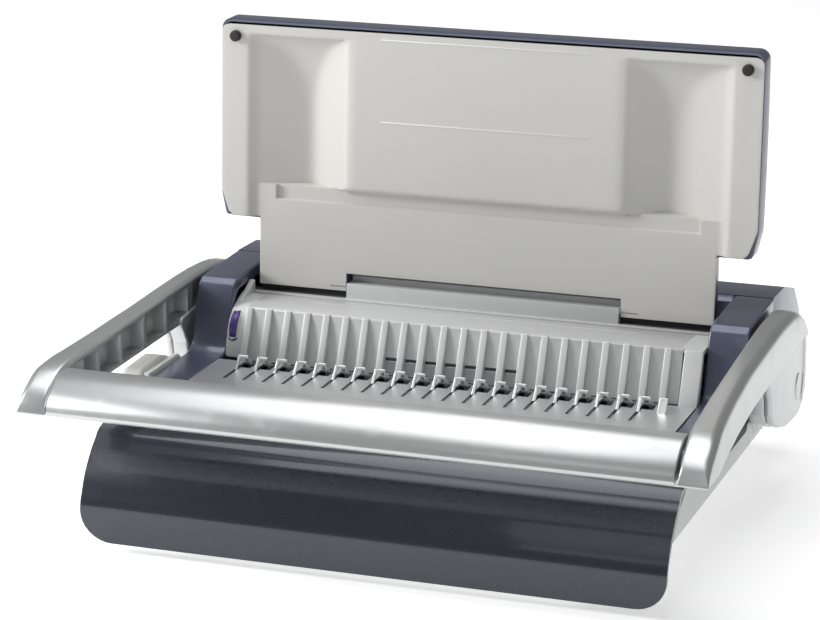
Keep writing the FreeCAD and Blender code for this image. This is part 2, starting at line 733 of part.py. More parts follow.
def build_comb_opener():
    """Slotted comb plate, hooks on their sliding carriage, and the lever that pulls them."""
    plate_low = throat_level - d.comb_plate_thickness
    hook_top = throat_level + d.hook_rise
    hook_rear = hook_front + d.hook_depth
    plate = Piece("comb_plate")
    plate.pad("z", [rectangle(-centre_half, comb_front, centre_half, comb_rear)],
              plate_low, throat_level)
    side = first_hook - d.hook_width / 2 - 0.8
    slot_end = hook_front - d.hook_travel - 1
    slot_side = side + d.hook_width + 1.6
    mouth = side + d.hook_width + d.hook_reach
    slot = [(side, slot_end), (slot_side, slot_end), (slot_side, hook_front - 2),
            (mouth, hook_front - 2), (mouth, hook_rear + 1.5), (side, hook_rear + 1.5)]
    opening = plate.cut("z", [slot], plate_low, throat_level)
    plate.repeat(opening, d.hole_count)
    top = throat_level - d.carriage_drop
    carriage_low = top - d.carriage_height
    hooks = Piece("comb_hooks")
    edge = first_hook - d.hook_width / 2
    right = edge + d.hook_width
    tip = edge + d.hook_reach
    hook = hooks.pad("y", [[(edge, top), (right, top), (right, hook_top - 2.5), (tip, hook_top - 2.5),
                            (tip, hook_top), (edge, hook_top)]], hook_front, hook_rear)
    hooks.repeat(hook, d.hole_count)
    finger = Piece("end_finger")
    last = edge + d.hole_count * d.hole_pitch
    finger.pad("y", [rectangle(last, throat_level, last + d.hook_width, hook_top)],
               hook_front, hook_rear)
    carriage_rear = hook_rear + 6
    carriage_front = carriage_rear - d.carriage_depth
    rail_level = top - d.carriage_height / 2
    carriage = Piece("hook_carriage")
    carriage.pad("x", [rectangle(carriage_front, carriage_low, carriage_rear, top)],
                 first_hook - 7, -first_hook)
    carriage.cut("y", [Circle(-rod_place, rail_level, d.rail_radius + d.run_gap),
                       Circle(rod_place, rail_level, d.rail_radius + d.run_gap)],
                 carriage_front, carriage_rear)
    rails = Piece("carriage_rails")
    bracket_front = carriage_front - d.hook_travel - 10
    bracket_rear = carriage_rear + 1
    rail_at = [Circle(-rod_place, rail_level, d.rail_radius),
               Circle(rod_place, rail_level, d.rail_radius)]
    rails.pad("y", rail_at, bracket_front, bracket_rear + 4)
    brackets = Piece("rail_brackets")
    for start, high in ((bracket_front, plate_low), (bracket_rear, throat_level - 5)):
        brackets.pad("y", [rectangle(-rod_place - 8, rail_level - 9, -rod_place + 8, high),
                           rectangle(rod_place - 8, rail_level - 9, rod_place + 8, high)],
                     start, start + 4)
    brackets.cut("y", rail_at, bracket_front, bracket_rear + 4)
    build_lever(carriage_rear, rail_level)


def build_lever(carriage_rear, rail_level):
    """Left-hand lever with its grip, cross shaft and two cranks behind the carriage."""
    level = lever_level
    outside = -half_body - 1.7
    arm = Piece("lever_arm")
    grip_rear = throat - 19
    grip_level = throat_level - 5
    arm.pad("x", [[(lever_pivot + 7, level + 5), (lever_pivot - 3, level + 9),
                   (grip_rear, grip_level + 7), (grip_rear - 50, grip_level + 7),
                   (grip_rear - 50, grip_level - 6), (grip_rear - 10, grip_level - 8),
                   (lever_pivot - 7, level - 7), (lever_pivot + 4, level - 7),
                   (lever_pivot + 8, level - 2)]], outside - 4, outside)
    arm.cut("x", [Circle(lever_pivot, level, d.lever_shaft_radius)], outside - 4, outside)
    grip = Piece("lever_grip")
    grip.pad("x", [rectangle(grip_rear - 56, grip_level - 11, grip_rear, grip_level + 10)],
             outside - 20, outside - 4)
    grip.soften(5, lambda edge, at: runs_along(edge, "x"))
    shaft = Piece("lever_shaft")
    shaft.pad("x", [Circle(lever_pivot, level, d.lever_shaft_radius)],
              outside - 4, plate_outer)
    cranks = Piece("lever_cranks")
    tip = carriage_rear + 3.5
    for place in (-100, 100):
        cranks.pad("x", [[(tip - 3, rail_level - 1), (tip + 2, rail_level + 2),
                          (lever_pivot + 6, level + 6), (lever_pivot + 8, level - 2),
                          (lever_pivot, level - 8), (lever_pivot - 7, level - 5)]],
                   place - 3, place + 3)
    cranks.cut("x", [Circle(lever_pivot, level, d.lever_shaft_radius)], -103, 103)


# ---------------------------------------------------------------- chip drawer

drawer_front_edge = hinge - 69
drawer_rear_edge = drawer_front_edge + d.drawer_depth + 8
drawer_low = d.foot_height + 4
drawer_high = knee - 2


def build_drawer():
    """Chip drawer with its ribbed front on the machine's right side."""
    drawer = Piece("chip_drawer")
    low = floor + 1.5
    end = tray_bottom - d.wall - 0.5
    start = end - d.drawer_length
    y_front = drawer_front_edge + 4
    y_rear = y_front + d.drawer_depth
    face = [(end + d.wall, drawer_low), (tray_side(drawer_low) + 1.2, drawer_low),
            (tray_side(drawer_high) + 1.2, drawer_high),
            (tray_side(drawer_high) - d.wall, drawer_high), (end - 2, low + d.drawer_height)]
    drawer.pad("x", [rectangle(y_front, low, y_rear, low + d.drawer_height)], start, end)
    drawer.cut("x", [rectangle(y_front + 2, low + 2, y_rear - 2, low + d.drawer_height)],
               start + 2, end - 2)
    drawer.pad("y", [face], drawer_front_edge, drawer_rear_edge)
    drawer.cut("x", [rectangle(drawer_front_edge + 14, drawer_high - 20,
                               drawer_rear_edge - 30, drawer_high - 6)],
               end + 24, half_body)


# ---------------------------------------------------------------- depth stop

wheel_left = -band_inner + 1.5
wheel_y = throat + 11


def build_depth_stop():
    """Thumbwheel, its cam and the paper rest that the cam lowers in the slot."""
    outline = [Circle(wheel_y, wheel_level, d.wheel_radius)]
    wheel = Piece("depth_wheel")
    wheel.pad("x", outline, wheel_left, wheel_left + d.wheel_width)
    wheel.cut("x", [Circle(wheel_y, wheel_level, d.wheel_shaft_radius)],
              wheel_left, wheel_left + d.wheel_width)
    shaft_end = -rod_place + 5
    shaft = Piece("wheel_shaft")
    shaft.pad("x", [Circle(wheel_y, wheel_level, d.wheel_shaft_radius)], wheel_left, shaft_end)
    cam = Piece("depth_cam")
    cam.pad("x", [Circle(wheel_y, wheel_level + d.cam_offset, d.cam_radius)],
            -rod_place - 20, -rod_place - 10)
    cam.cut("x", [Circle(wheel_y, wheel_level, d.wheel_shaft_radius)],
            -rod_place - 20, -rod_place - 10)
    bracket = Piece("wheel_bracket")
    bracket_low = wheel_level - 5.5
    bracket_top = wheel_level + 4.5
    for left in (-rod_place - 30, -rod_place + 2):
        bracket.pad("x", [rectangle(wheel_y - 3.2, bracket_low, wheel_y + 12, bracket_top)], left, left + 3)
    bracket.pad("x", [rectangle(wheel_y + 10, bracket_low, wheel_y + 12, bracket_top)],
                -rod_place - 30, -rod_place + 5)
    bracket.cut("x", [Circle(wheel_y, wheel_level, d.wheel_shaft_radius + d.run_gap)],
                -rod_place - 30, -rod_place + 5)
    follower_top = wheel_level + d.cam_offset - d.cam_radius - 0.5
    rest = Piece("paper_rest")
    rest_low = die_bottom - 4
    rest.pad("x", [rectangle(slot_front + 0.3, rest_low, slot_rear - 0.3, die_bottom + 4)],
             -die_half + 1, die_half - 1)
    follower = Piece("depth_follower")
    follower.pad("x", [[(wheel_y - 4, follower_top - 3), (slot_front - 11, rest_low - 2.5),
                        (slot_rear - 0.3, rest_low - 2.5), (slot_rear - 0.3, rest_low),
                        (slot_front - 9, rest_low), (wheel_y + 6, follower_top),
                        (wheel_y - 4, follower_top)]], -rod_place - 19, -rod_place - 11)


def write_pieces():
    """Check every object of the document, then write each piece to its own file."""
    DOC.recompute()
    for item in DOC.Objects:
        if "Invalid" in item.State or "Error" in item.State:
            raise ValueError(f"{item.Name} did not build: {item.State}")
    for label, body in PIECES.items():
        if body.Shape.isNull() or not body.Shape.isValid() or not body.Shape.Solids:
            raise ValueError(f"{label} has no valid shape")
    os.makedirs("parts", exist_ok=True)
    for label, body in PIECES.items():
        body.Shape.exportStep(f"parts/{label}.step")


for build in (build_base_tray, build_front_cover, build_rear_cover, build_punch_guide,
              build_rear_deck, build_hinge_block, build_hinge_pins, build_feet,
              build_base_screws, build_punch_frame, build_punch, build_handle, build_lid,
              build_comb_opener, build_drawer, build_depth_stop):
    build()
write_pieces()
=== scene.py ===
"""Looks of a manual comb binding machine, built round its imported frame.

Lengths are millimetres until a mesh is made, and the row frame is kept: +X is the machine's
right, +Y its rear, +Z up. Every piece rides on a body of the frame.
"""
import logging
import math
from dataclasses import dataclass
from enum import Enum
from typing import Sequence

import bmesh
import bpy
import numpy as np
from mathutils import Matrix, Vector


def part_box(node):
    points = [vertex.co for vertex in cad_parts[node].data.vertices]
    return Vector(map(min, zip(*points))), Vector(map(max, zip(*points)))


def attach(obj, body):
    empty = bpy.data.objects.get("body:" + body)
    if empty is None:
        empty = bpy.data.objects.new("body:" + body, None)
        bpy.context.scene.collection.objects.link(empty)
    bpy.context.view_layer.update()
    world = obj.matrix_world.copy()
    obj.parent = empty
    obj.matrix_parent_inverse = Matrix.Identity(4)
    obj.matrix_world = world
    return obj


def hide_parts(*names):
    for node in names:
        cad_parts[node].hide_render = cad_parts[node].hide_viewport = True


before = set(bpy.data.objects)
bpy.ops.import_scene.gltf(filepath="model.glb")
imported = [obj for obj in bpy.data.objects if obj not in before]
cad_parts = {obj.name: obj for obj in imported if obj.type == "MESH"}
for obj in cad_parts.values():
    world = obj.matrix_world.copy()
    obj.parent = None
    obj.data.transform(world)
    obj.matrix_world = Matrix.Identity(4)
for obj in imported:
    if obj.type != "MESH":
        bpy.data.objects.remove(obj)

LOG = logging.getLogger("comb_binder")
MM = 0.001
AXES = {"x": Vector((1, 0, 0)), "y": Vector((0, 1, 0)), "z": Vector((0, 0, 1))}
SEAM = 0.3
HOOKS = 21
Point = Sequence[float]
Object = bpy.types.Object


# ---- outlines

def rounded(points: Sequence[Point], radius: float | Sequence[float], steps: int = 5) -> list[Point]:
    """Rounds the corners of a closed outline.

    Args:
        points: The corners in order.
        radius: One radius, or one for each corner.
        steps: Segments in each arc.

    Returns:
        The outline with each corner as an arc.
    """
    radii = [radius] * len(points) if isinstance(radius, (int, float)) else list(radius)
    outline = []
    for index, size in enumerate(radii):
        here = Vector(points[index])
        before = Vector(points[index - 1]) - here
        after = Vector(points[(index + 1) % len(points)]) - here
        half = before.angle(after) / 2
        if size <= 0 or half > math.radians(89.5):
            outline.append(tuple(here))
            continue
        reach = min(size / math.tan(half), 0.48 * min(before.length, after.length))
        centre = here + (before.normalized() + after.normalized()).normalized() * reach / math.cos(half)
        start = here + before.normalized() * reach - centre
        end = here + after.normalized() * reach - centre
        turn = start.angle(end)
        for step in range(steps + 1):
            share = step / steps
            spoke = (start * math.sin((1 - share) * turn) + end * math.sin(share * turn)) / math.sin(turn)
            outline.append(tuple(centre + spoke))
    return outline


def smooth_line(points: Sequence[Point], steps: int = 5) -> list[Point]:
    """Draws a smooth open line through a few points.

    Args:
        points: The points that the line passes.
        steps: Segments between two points.

    Returns:
        The line's points.
    """
    ends = [points[0], *points, points[-1]]
    line = []
    for one, two, three, four in zip(ends, ends[1:], ends[2:], ends[3:]):
        for step in range(steps):
            t = step / steps
            line.append(tuple(0.5 * (2 * b + (c - a) * t + (2 * a - 5 * b + 4 * c - d) * t * t
                                     + (3 * b - a - 3 * c + d) * t ** 3)
                              for a, b, c, d in zip(one, two, three, four)))
    return [*line, tuple(points[-1])]


def box_outline(left: float, low: float, right: float, high: float) -> list[Point]:
    """Four corners of a rectangle."""
    return [(left, low), (right, low), (right, high), (left, high)]


def table_value(table: Sequence[Point], at: float) -> float:
    """Reads a value between the rows of a short table of places and values."""
    return float(np.interp(at, [row[0] for row in table], [row[1] for row in table]))


def ease(low: float, high: float, value: np.ndarray | float) -> np.ndarray | float:
    """Rises smoothly from 0 at low to 1 at high."""
    share = np.clip((value - low) / (high - low), 0, 1)
    return share * share * (3 - 2 * share)


def extent(node: str) -> tuple[Vector, Vector]:
    """A frame node's lowest and highest corner, in millimetres."""
    low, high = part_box(node)
    return low / MM, high / MM


# ---- workshop

class Shop:
    """The mesh operations that the sub-assemblies share."""

    @staticmethod
    def select(*objects: Object) -> None:
        """Selects these objects alone, the last one active."""
        bpy.ops.object.select_all(action="DESELECT")
        for item in objects:
            item.select_set(True)
        bpy.context.view_layer.objects.active = objects[-1]

    @staticmethod
    def spot(axis: str, point: Point, along: float) -> Vector:
        """The place of an outline's point that lies at a distance along an axis, in metres."""
        across, up = point
        spots = {"x": (along, across, up), "y": (across, along, up), "z": (across, up, along)}
        return Vector(spots[axis]) * MM

    @classmethod
    def prism(cls, name: str, outline: Sequence[Point], axis: str, start: float, end: float) -> Object:
        """Extrudes a closed outline.

        Args:
            name: The object's name.
            outline: Its corners, in the two other axes.
            axis: The axis that it is extruded along.
            start: Where it starts.
            end: Where it ends.

        Returns:
            The closed solid.
        """
        bpy.ops.object.select_all(action="DESELECT")
        bpy.ops.mesh.primitive_circle_add(vertices=len(outline), radius=MM, fill_type="NGON")
        item = bpy.context.object
        item.name = name
        for vertex, point in zip(item.data.vertices, outline):
            vertex.co = cls.spot(axis, point, start)
        bpy.ops.object.mode_set(mode="EDIT")
        bpy.ops.mesh.select_all(action="SELECT")
        shift = AXES[axis] * (end - start) * MM
        bpy.ops.mesh.extrude_region_move(TRANSFORM_OT_translate={"value": shift})
        bpy.ops.object.mode_set(mode="OBJECT")
        cls.mend(item)
        item.data.update()
        return item

    @classmethod
    def mend(cls, item: Object) -> Object:
        """Merges an item's doubles and turns its faces outwards."""
        cls.select(item)
        bpy.ops.object.mode_set(mode="EDIT")
        bpy.ops.mesh.select_all(action="SELECT")
        bpy.ops.mesh.remove_doubles(threshold=1e-6)
        bpy.ops.mesh.normals_make_consistent(inside=False)
        bpy.ops.object.mode_set(mode="OBJECT")
        return item

    @staticmethod
    def placed(name: str, data: bpy.types.Mesh) -> Object:
        """A new object of the scene with this mesh."""
        item = bpy.data.objects.new(name, data)
        bpy.context.scene.collection.objects.link(item)
        return item

    @classmethod
    def block(cls, name: str, low: Point, high: Point) -> Object:
        """A box from its lowest to its highest corner, in millimetres."""
        middle = (Vector(low) + Vector(high)) / 2 * MM
        bpy.ops.object.select_all(action="DESELECT")
        bpy.ops.mesh.primitive_cube_add(size=1, location=middle, scale=(Vector(high) - Vector(low)) * MM)
        item = bpy.context.object
        item.name = name
        bpy.ops.object.transform_apply()
        return item

    @classmethod
    def rod(cls, name: str, centre: Point, axis: str, radius: float, length: float,
            sides: int) -> Object:
        """A round bar that is centred on a place and lies along an axis."""
        turns = {"x": (0, math.pi / 2, 0), "y": (math.pi / 2, 0, 0), "z": (0, 0, 0)}
        bpy.ops.object.select_all(action="DESELECT")
        bpy.ops.mesh.primitive_cylinder_add(vertices=sides, radius=radius * MM, depth=length * MM,
                                            location=Vector(centre) * MM, rotation=turns[axis])
        item = bpy.context.object
        item.name = name
        bpy.ops.object.transform_apply()
        return item

    @classmethod
    def loft(cls, name: str, rings: Sequence[Sequence[Point]]) -> Object:
        """Skins closed rings of equal length, in millimetres, and caps both ends."""
        mesh = bmesh.new()
        rows = [[mesh.verts.new(Vector(point) * MM) for point in ring] for ring in rings]
        for row, following in zip(rows, rows[1:]):
            for index in range(len(row)):
                mesh.faces.new((row[index - 1], row[index], following[index], following[index - 1]))
        mesh.faces.new(rows[0])
        mesh.faces.new(rows[-1][::-1])
        data = bpy.data.meshes.new(name)
        mesh.to_mesh(data)
        mesh.free()
        return cls.mend(cls.placed(name, data))

    @classmethod
    def apply(cls, item: Object, kind: str, **settings: object) -> Object:
        """Adds a modifier with its settings and applies it."""
        modifier = item.modifiers.new(kind.lower(), kind)
        for key, value in settings.items():
            setattr(modifier, key, value)
        cls.select(item)
        bpy.ops.object.modifier_apply(modifier=modifier.name)
        return item

    @classmethod
    def soften(cls, item: Object, width: float, segments: int = 3, angle: float = 30) -> Object:
        """Rounds the edges that are sharper than an angle."""
        return cls.apply(item, "BEVEL", width=width * MM, segments=segments, limit_method="ANGLE",
                         angle_limit=math.radians(angle), miter_outer="MITER_ARC")

    @classmethod
    def carve(cls, item: Object, *cutters: Object, keep: str = "DIFFERENCE") -> Object:
        """Cuts, joins or intersects an item with tools that are then thrown away."""
        for cutter in cutters:
            cls.apply(item, "BOOLEAN", object=cutter, operation=keep, solver="EXACT")
            bpy.data.objects.remove(cutter)
        return item

    @classmethod
    def row(cls, item: Object, count: int, step: float) -> Object:
        """Copies an item along X, each copy with its own mesh, and joins the row."""
        copies = []
        for index in range(1, count):
            copy = cls.placed(f"{item.name}_{index}", item.data.copy())
            copy.data.transform(Matrix.Translation(AXES["x"] * step * index * MM))
            copies.append(copy)
        return cls.join(item, *copies)

    @classmethod
    def join(cls, item: Object, *others: Object) -> Object:
        """Joins others into an item."""
        cls.select(*others, item)
        bpy.ops.object.join()
        return item

    @classmethod
    def mirrored(cls, item: Object, name: str) -> Object:
        """A copy on the other side of the machine."""
        copy = cls.placed(name, item.data.copy())
        copy.data.transform(Matrix.Scale(-1, 4, AXES["x"]))
        return cls.mend(copy)

    @classmethod
    def copy_of(cls, node: str, name: str, width: float, segments: int = 3) -> Object:
        """A copy of a frame node's mesh, with flat faces made whole and edges rounded by a width."""
        item = cls.placed(name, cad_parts[node].data.copy())
        item.data.materials.clear()
        cls.select(item)
        bpy.ops.mesh.customdata_custom_splitnormals_clear()
        bpy.ops.object.mode_set(mode="EDIT")
        bpy.ops.mesh.select_all(action="SELECT")
        bpy.ops.mesh.remove_doubles(threshold=1e-5)
        bpy.ops.mesh.dissolve_limited(angle_limit=math.radians(2))
        bpy.ops.object.mode_set(mode="OBJECT")
        return cls.soften(item, width, segments, 35)

    @classmethod
    def deliver(cls, item: Object, body: str, slot: str, finish: "Finish", *nodes: str,
                angle: float = 32) -> Object:
        """Dresses a piece and hands it to its body.

        Args:
            item: The finished mesh object.
            body: The frame body that it rides on.
            slot: The record's material slot; not used.
            finish: Its finish.
            nodes: The frame nodes that it stands for.
            angle: Edges sharper than this stay crisp.

        Returns:
            The piece.
        """
        cls.select(item)
        bpy.ops.object.shade_smooth_by_angle(angle=math.radians(angle))
        item.data.name = item.name
        item.data.materials.clear()
        item.data.materials.append(finish.material())
        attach(item, body)
        if nodes:
            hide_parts(*nodes)
        LOG.info("%s: %d faces on %s", item.name, len(item.data.polygons), body)
        return item


# ---- finishes

class Wire:
    """A node socket that takes part in arithmetic."""

    def __init__(self, recipe: "Recipe", socket: bpy.types.NodeSocket) -> None:
        """Keeps the socket and the recipe that it belongs to."""
        self.recipe = recipe
        self.socket = socket

    def _math(self, operation: str, *values: object) -> "Wire":
        """Adds one Math node."""
        return self.recipe.node("ShaderNodeMath", {"operation": operation}, dict(enumerate(values)))

    def __add__(self, other: object) -> "Wire":
        """Sum."""
        return self._math("ADD", self, other)

    def __sub__(self, other: object) -> "Wire":
        """Difference."""
        return self._math("SUBTRACT", self, other)

    def __mul__(self, other: object) -> "Wire":
        """Product."""
        return self._math("MULTIPLY", self, other)

    __radd__ = __add__
    __rmul__ = __mul__

    def above(self, edge: float, width: float) -> "Wire":
        """Rises from 0 to 1 round an edge."""
        return self.recipe.node("ShaderNodeMapRange", {"interpolation_type": "SMOOTHSTEP"},
                                {"Value": self, "From Min": edge - width, "From Max": edge + width})


class Recipe:
    """The node tree of one material."""

    def __init__(self, name: str) -> None:
        """Starts a material with its shader alone."""
        self.material = bpy.data.materials.new(name)
        self.material.use_nodes = True
        self.tree = self.material.node_tree
        self.shader = next(n for n in self.tree.nodes if n.bl_idname == "ShaderNodeBsdfPrincipled")

    def node(self, kind: str, settings: dict, sockets: dict, output: int | str = 0) -> Wire:
        """Adds a node.

        Args:
            kind: The node's type.
            settings: Its properties, set first.
            sockets: Values or wires for its inputs, by name or number.
            output: The output that is wanted.

        Returns:
            That output as a wire.
        """
        made = self.tree.nodes.new(kind)
        for key, value in settings.items():
            setattr(made, key, value)
        for key, value in sockets.items():
            self.feed(made.inputs[key], value)
        return Wire(self, made.outputs[output])

    def feed(self, socket: bpy.types.NodeSocket, value: object) -> None:
        """Links a wire to a socket, or sets its number."""
        if isinstance(value, Wire):
            self.tree.links.new(value.socket, socket)
        else:
            socket.default_value = value

    def noise(self, scale: float, stretch: Point = (1, 1, 1), detail: float = 3) -> Wire:
        """Noise on object coordinates, with cells of about 1 / scale metres."""
        place = self.node("ShaderNodeTexCoord", {}, {}, "Object")
        place = self.node("ShaderNodeMapping", {}, {"Vector": place, "Scale": tuple(stretch)})
        return self.node("ShaderNodeTexNoise", {}, {"Vector": place, "Scale": scale, "Detail": detail})

    def cells(self, scale: float) -> Wire:
        """A random value for each small cell."""
        place = self.node("ShaderNodeTexCoord", {}, {}, "Object")
        colour = self.node("ShaderNodeTexVoronoi", {}, {"Vector": place, "Scale": scale}, "Color")
        return self.node("ShaderNodeSeparateColor", {}, {"Color": colour}, "Red")

    def blend(self, share: Wire, first: Point, second: Point) -> Wire:
        """Mixes two colours."""
        return self.node("ShaderNodeMix", {"data_type": "RGBA"},
                         {"Factor": share, 6: (*first, 1), 7: (*second, 1)}, 2)


class Grain(Enum):
    """What a surface shows close up."""

    MOULDED = "fine sparked mould texture"
    FLAKE = "metal flake in lacquer"
    BRUSHED = "lines along the machine"
    ROLLED = "cloudy rolled or plated metal"
    SMOOTH = "polished, with faint handling marks"


@dataclass(frozen=True)
class Finish:
    """A painted, moulded or metal surface."""

    name: str
    colour: Point
    roughness: float
    metallic: float = 0.0
    coat: float = 0.0
    grain: Grain = Grain.MOULDED
    relief: float = 0.02
    shift: float = 0.06
    specular: float = 0.5

    def material(self) -> bpy.types.Material:
        """The material, made the first time that it is asked for."""
        return bpy.data.materials.get(self.name) or self._mix()

    def _mix(self) -> bpy.types.Material:
        """Builds the nodes."""
        recipe = Recipe(self.name)
        inputs = recipe.shader.inputs
        cloud = recipe.noise(9, detail=2)
        mark = recipe.noise(60, detail=5).above(0.62, 0.08)
        grain, share = self._pattern(recipe, cloud)
        light = [min(1, channel * (1 + self.shift)) for channel in self.colour]
        dark = [channel * (1 - self.shift) for channel in self.colour]
        recipe.feed(inputs["Base Color"], recipe.blend(share, dark, light))
        rough = self.roughness + (share - 0.5) * (0.25 * self.roughness) + mark * 0.05
        recipe.feed(inputs["Roughness"], rough)
        inputs["Metallic"].default_value = self.metallic
        inputs["Coat Weight"].default_value = self.coat
        inputs["Coat Roughness"].default_value = 0.08
        inputs["Specular IOR Level"].default_value = self.specular
        bump = recipe.node("ShaderNodeBump", {}, {"Strength": 1.0, "Distance": self.relief * MM,
                                                  "Height": grain})
        recipe.feed(inputs["Normal"], bump)
        return recipe.material

    def _pattern(self, recipe: Recipe, cloud: Wire) -> tuple[Wire, Wire]:
        """The height and the colour share of this finish's grain."""
        if self.grain is Grain.FLAKE:
            flake = recipe.cells(2600)
            return flake, flake * 0.55 + cloud * 0.45
        if self.grain is Grain.BRUSHED:
            lines = recipe.noise(60, (0.35, 26, 26), 4)
            return lines, lines * 0.7 + cloud * 0.3
        if self.grain is Grain.ROLLED:
            plate = recipe.noise(160, detail=6)
            return plate, plate * 0.6 + cloud * 0.4
        if self.grain is Grain.SMOOTH:
            return recipe.noise(250, detail=2), cloud
        fine = recipe.noise(1500, detail=4)
        return fine, fine * 0.35 + cloud * 0.65


# DARK_BLUE and the panel's copy below are one dark blue lacquer in one slot: the panel's copy is darker as
# painted shade, and DARK_BLUE is lighter as painted light on the bands.
DARK_BLUE = Finish("dark_blue_lacquer", (0.098, 0.112, 0.165), 0.34, metallic=0.5, coat=0.5,
                   grain=Grain.FLAKE, relief=0.004, shift=0.2)
SHADED_PANEL_BLUE = Finish("front_panel_lacquer_shaded", (0.027, 0.030, 0.045), 0.28, metallic=0.5, coat=0.8,
                    grain=Grain.FLAKE, relief=0.003, shift=0.2)
SILVER = Finish("silver_lacquer", (0.53, 0.535, 0.54), 0.32, metallic=0.8, coat=0.12,
                grain=Grain.FLAKE, relief=0.006, shift=0.07)
LIGHT_GREY = Finish("light_grey_plastic", (0.62, 0.63, 0.62), 0.42)
WARM_GREY = Finish("warm_grey_plastic", (0.60, 0.595, 0.565), 0.46, relief=0.03)
DECK_GREY = Finish("deck_grey_plastic", (0.60, 0.605, 0.605), 0.36, metallic=0.15, relief=0.015)
SATIN_STEEL = Finish("satin_steel", (0.52, 0.52, 0.515), 0.38, metallic=0.85, grain=Grain.BRUSHED,
                     relief=0.006, shift=0.12)
STEEL = Finish("zinc_plated_steel", (0.50, 0.51, 0.53), 0.36, metallic=1.0, grain=Grain.ROLLED,
               relief=0.01, shift=0.14)
CHROME = Finish("polished_nickel", (0.95, 0.95, 0.95), 0.30, metallic=1.0, grain=Grain.SMOOTH,
                relief=0.003, shift=0.03)
BRONZE = Finish("sintered_bronze", (0.45, 0.29, 0.14), 0.42, metallic=1.0, grain=Grain.ROLLED,
                relief=0.02, shift=0.15)
RUBBER = Finish("black_rubber", (0.018, 0.018, 0.019), 0.7, relief=0.04, shift=0.25)
PURPLE = Finish("purple_plastic", (0.055, 0.028, 0.20), 0.33, coat=0.1, relief=0.01, shift=0.15)
BLACK = Finish("black_plastic", (0.02, 0.02, 0.022), 0.5, relief=0.03, shift=0.2)
MARKING = Finish("pale_moulded_line", (0.80, 0.80, 0.77), 0.4)

HIDDEN_FINISHES = {
    "hinge_pins": STEEL, "side_plate_left": STEEL, "side_plate_right": STEEL,
    "front_die_plate": STEEL, "rear_guide_plate": STEEL, "rear_crossbar": STEEL,
    "guide_rods": CHROME, "shaft_bushes": BRONZE, "frame_screws": STEEL, "return_springs": STEEL,
    "carriage_rails": CHROME, "rail_brackets": STEEL, "wheel_bracket": STEEL, "bar_core": STEEL,
    "drive_shaft": STEEL, "drive_cams": STEEL, "punch_bar": STEEL, "punch_pins": CHROME,
    "hook_carriage": STEEL, "lever_shaft": STEEL, "lever_cranks": STEEL, "wheel_shaft": STEEL,
    "depth_cam": BLACK, "paper_rest": STEEL, "depth_follower": STEEL,
}


# ---- places from the frame

class Frame:
    """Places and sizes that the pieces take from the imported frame, in millimetres."""

    def __init__(self, throat_run: float = 15) -> None:
        """Reads the boxes of the nodes that set the machine's main lines.

        Args:
            throat_run: How far the throat's floor goes on behind the comb plate.
        """
        cover_low, cover_high = extent("front_cover")
        plate_low, plate_high = extent("comb_plate")
        liner_low, liner_high = extent("lid_liner")
        shell_high = extent("lid_shell")[1]
        self.half, self.split, self.deck = cover_high
        self.panel_foot = cover_low.z
        self.centre = extent("punch_guide")[1].x
        self.band = self.centre + SEAM
        self.throat_level = plate_high.z
        self.comb_front, self.comb_rear = plate_low.y, plate_high.y
        self.throat = self.comb_rear + throat_run
        self.first_hook = extent("comb_hooks")[0].x
        self.last_finger = extent("end_finger")[0].x
        self.pitch = (self.last_finger - self.first_hook) / HOOKS
        self.lid_half, self.lid_top = shell_high.x, shell_high.z
        self.lid_foot, self.lid_low = liner_low.y, liner_low.z
        self.lid_rim = liner_high.z
        self.front = extent("handle_bar")[0].y
        self.arm_outer = extent("arm_right")[1].x


# ---- sub-assemblies

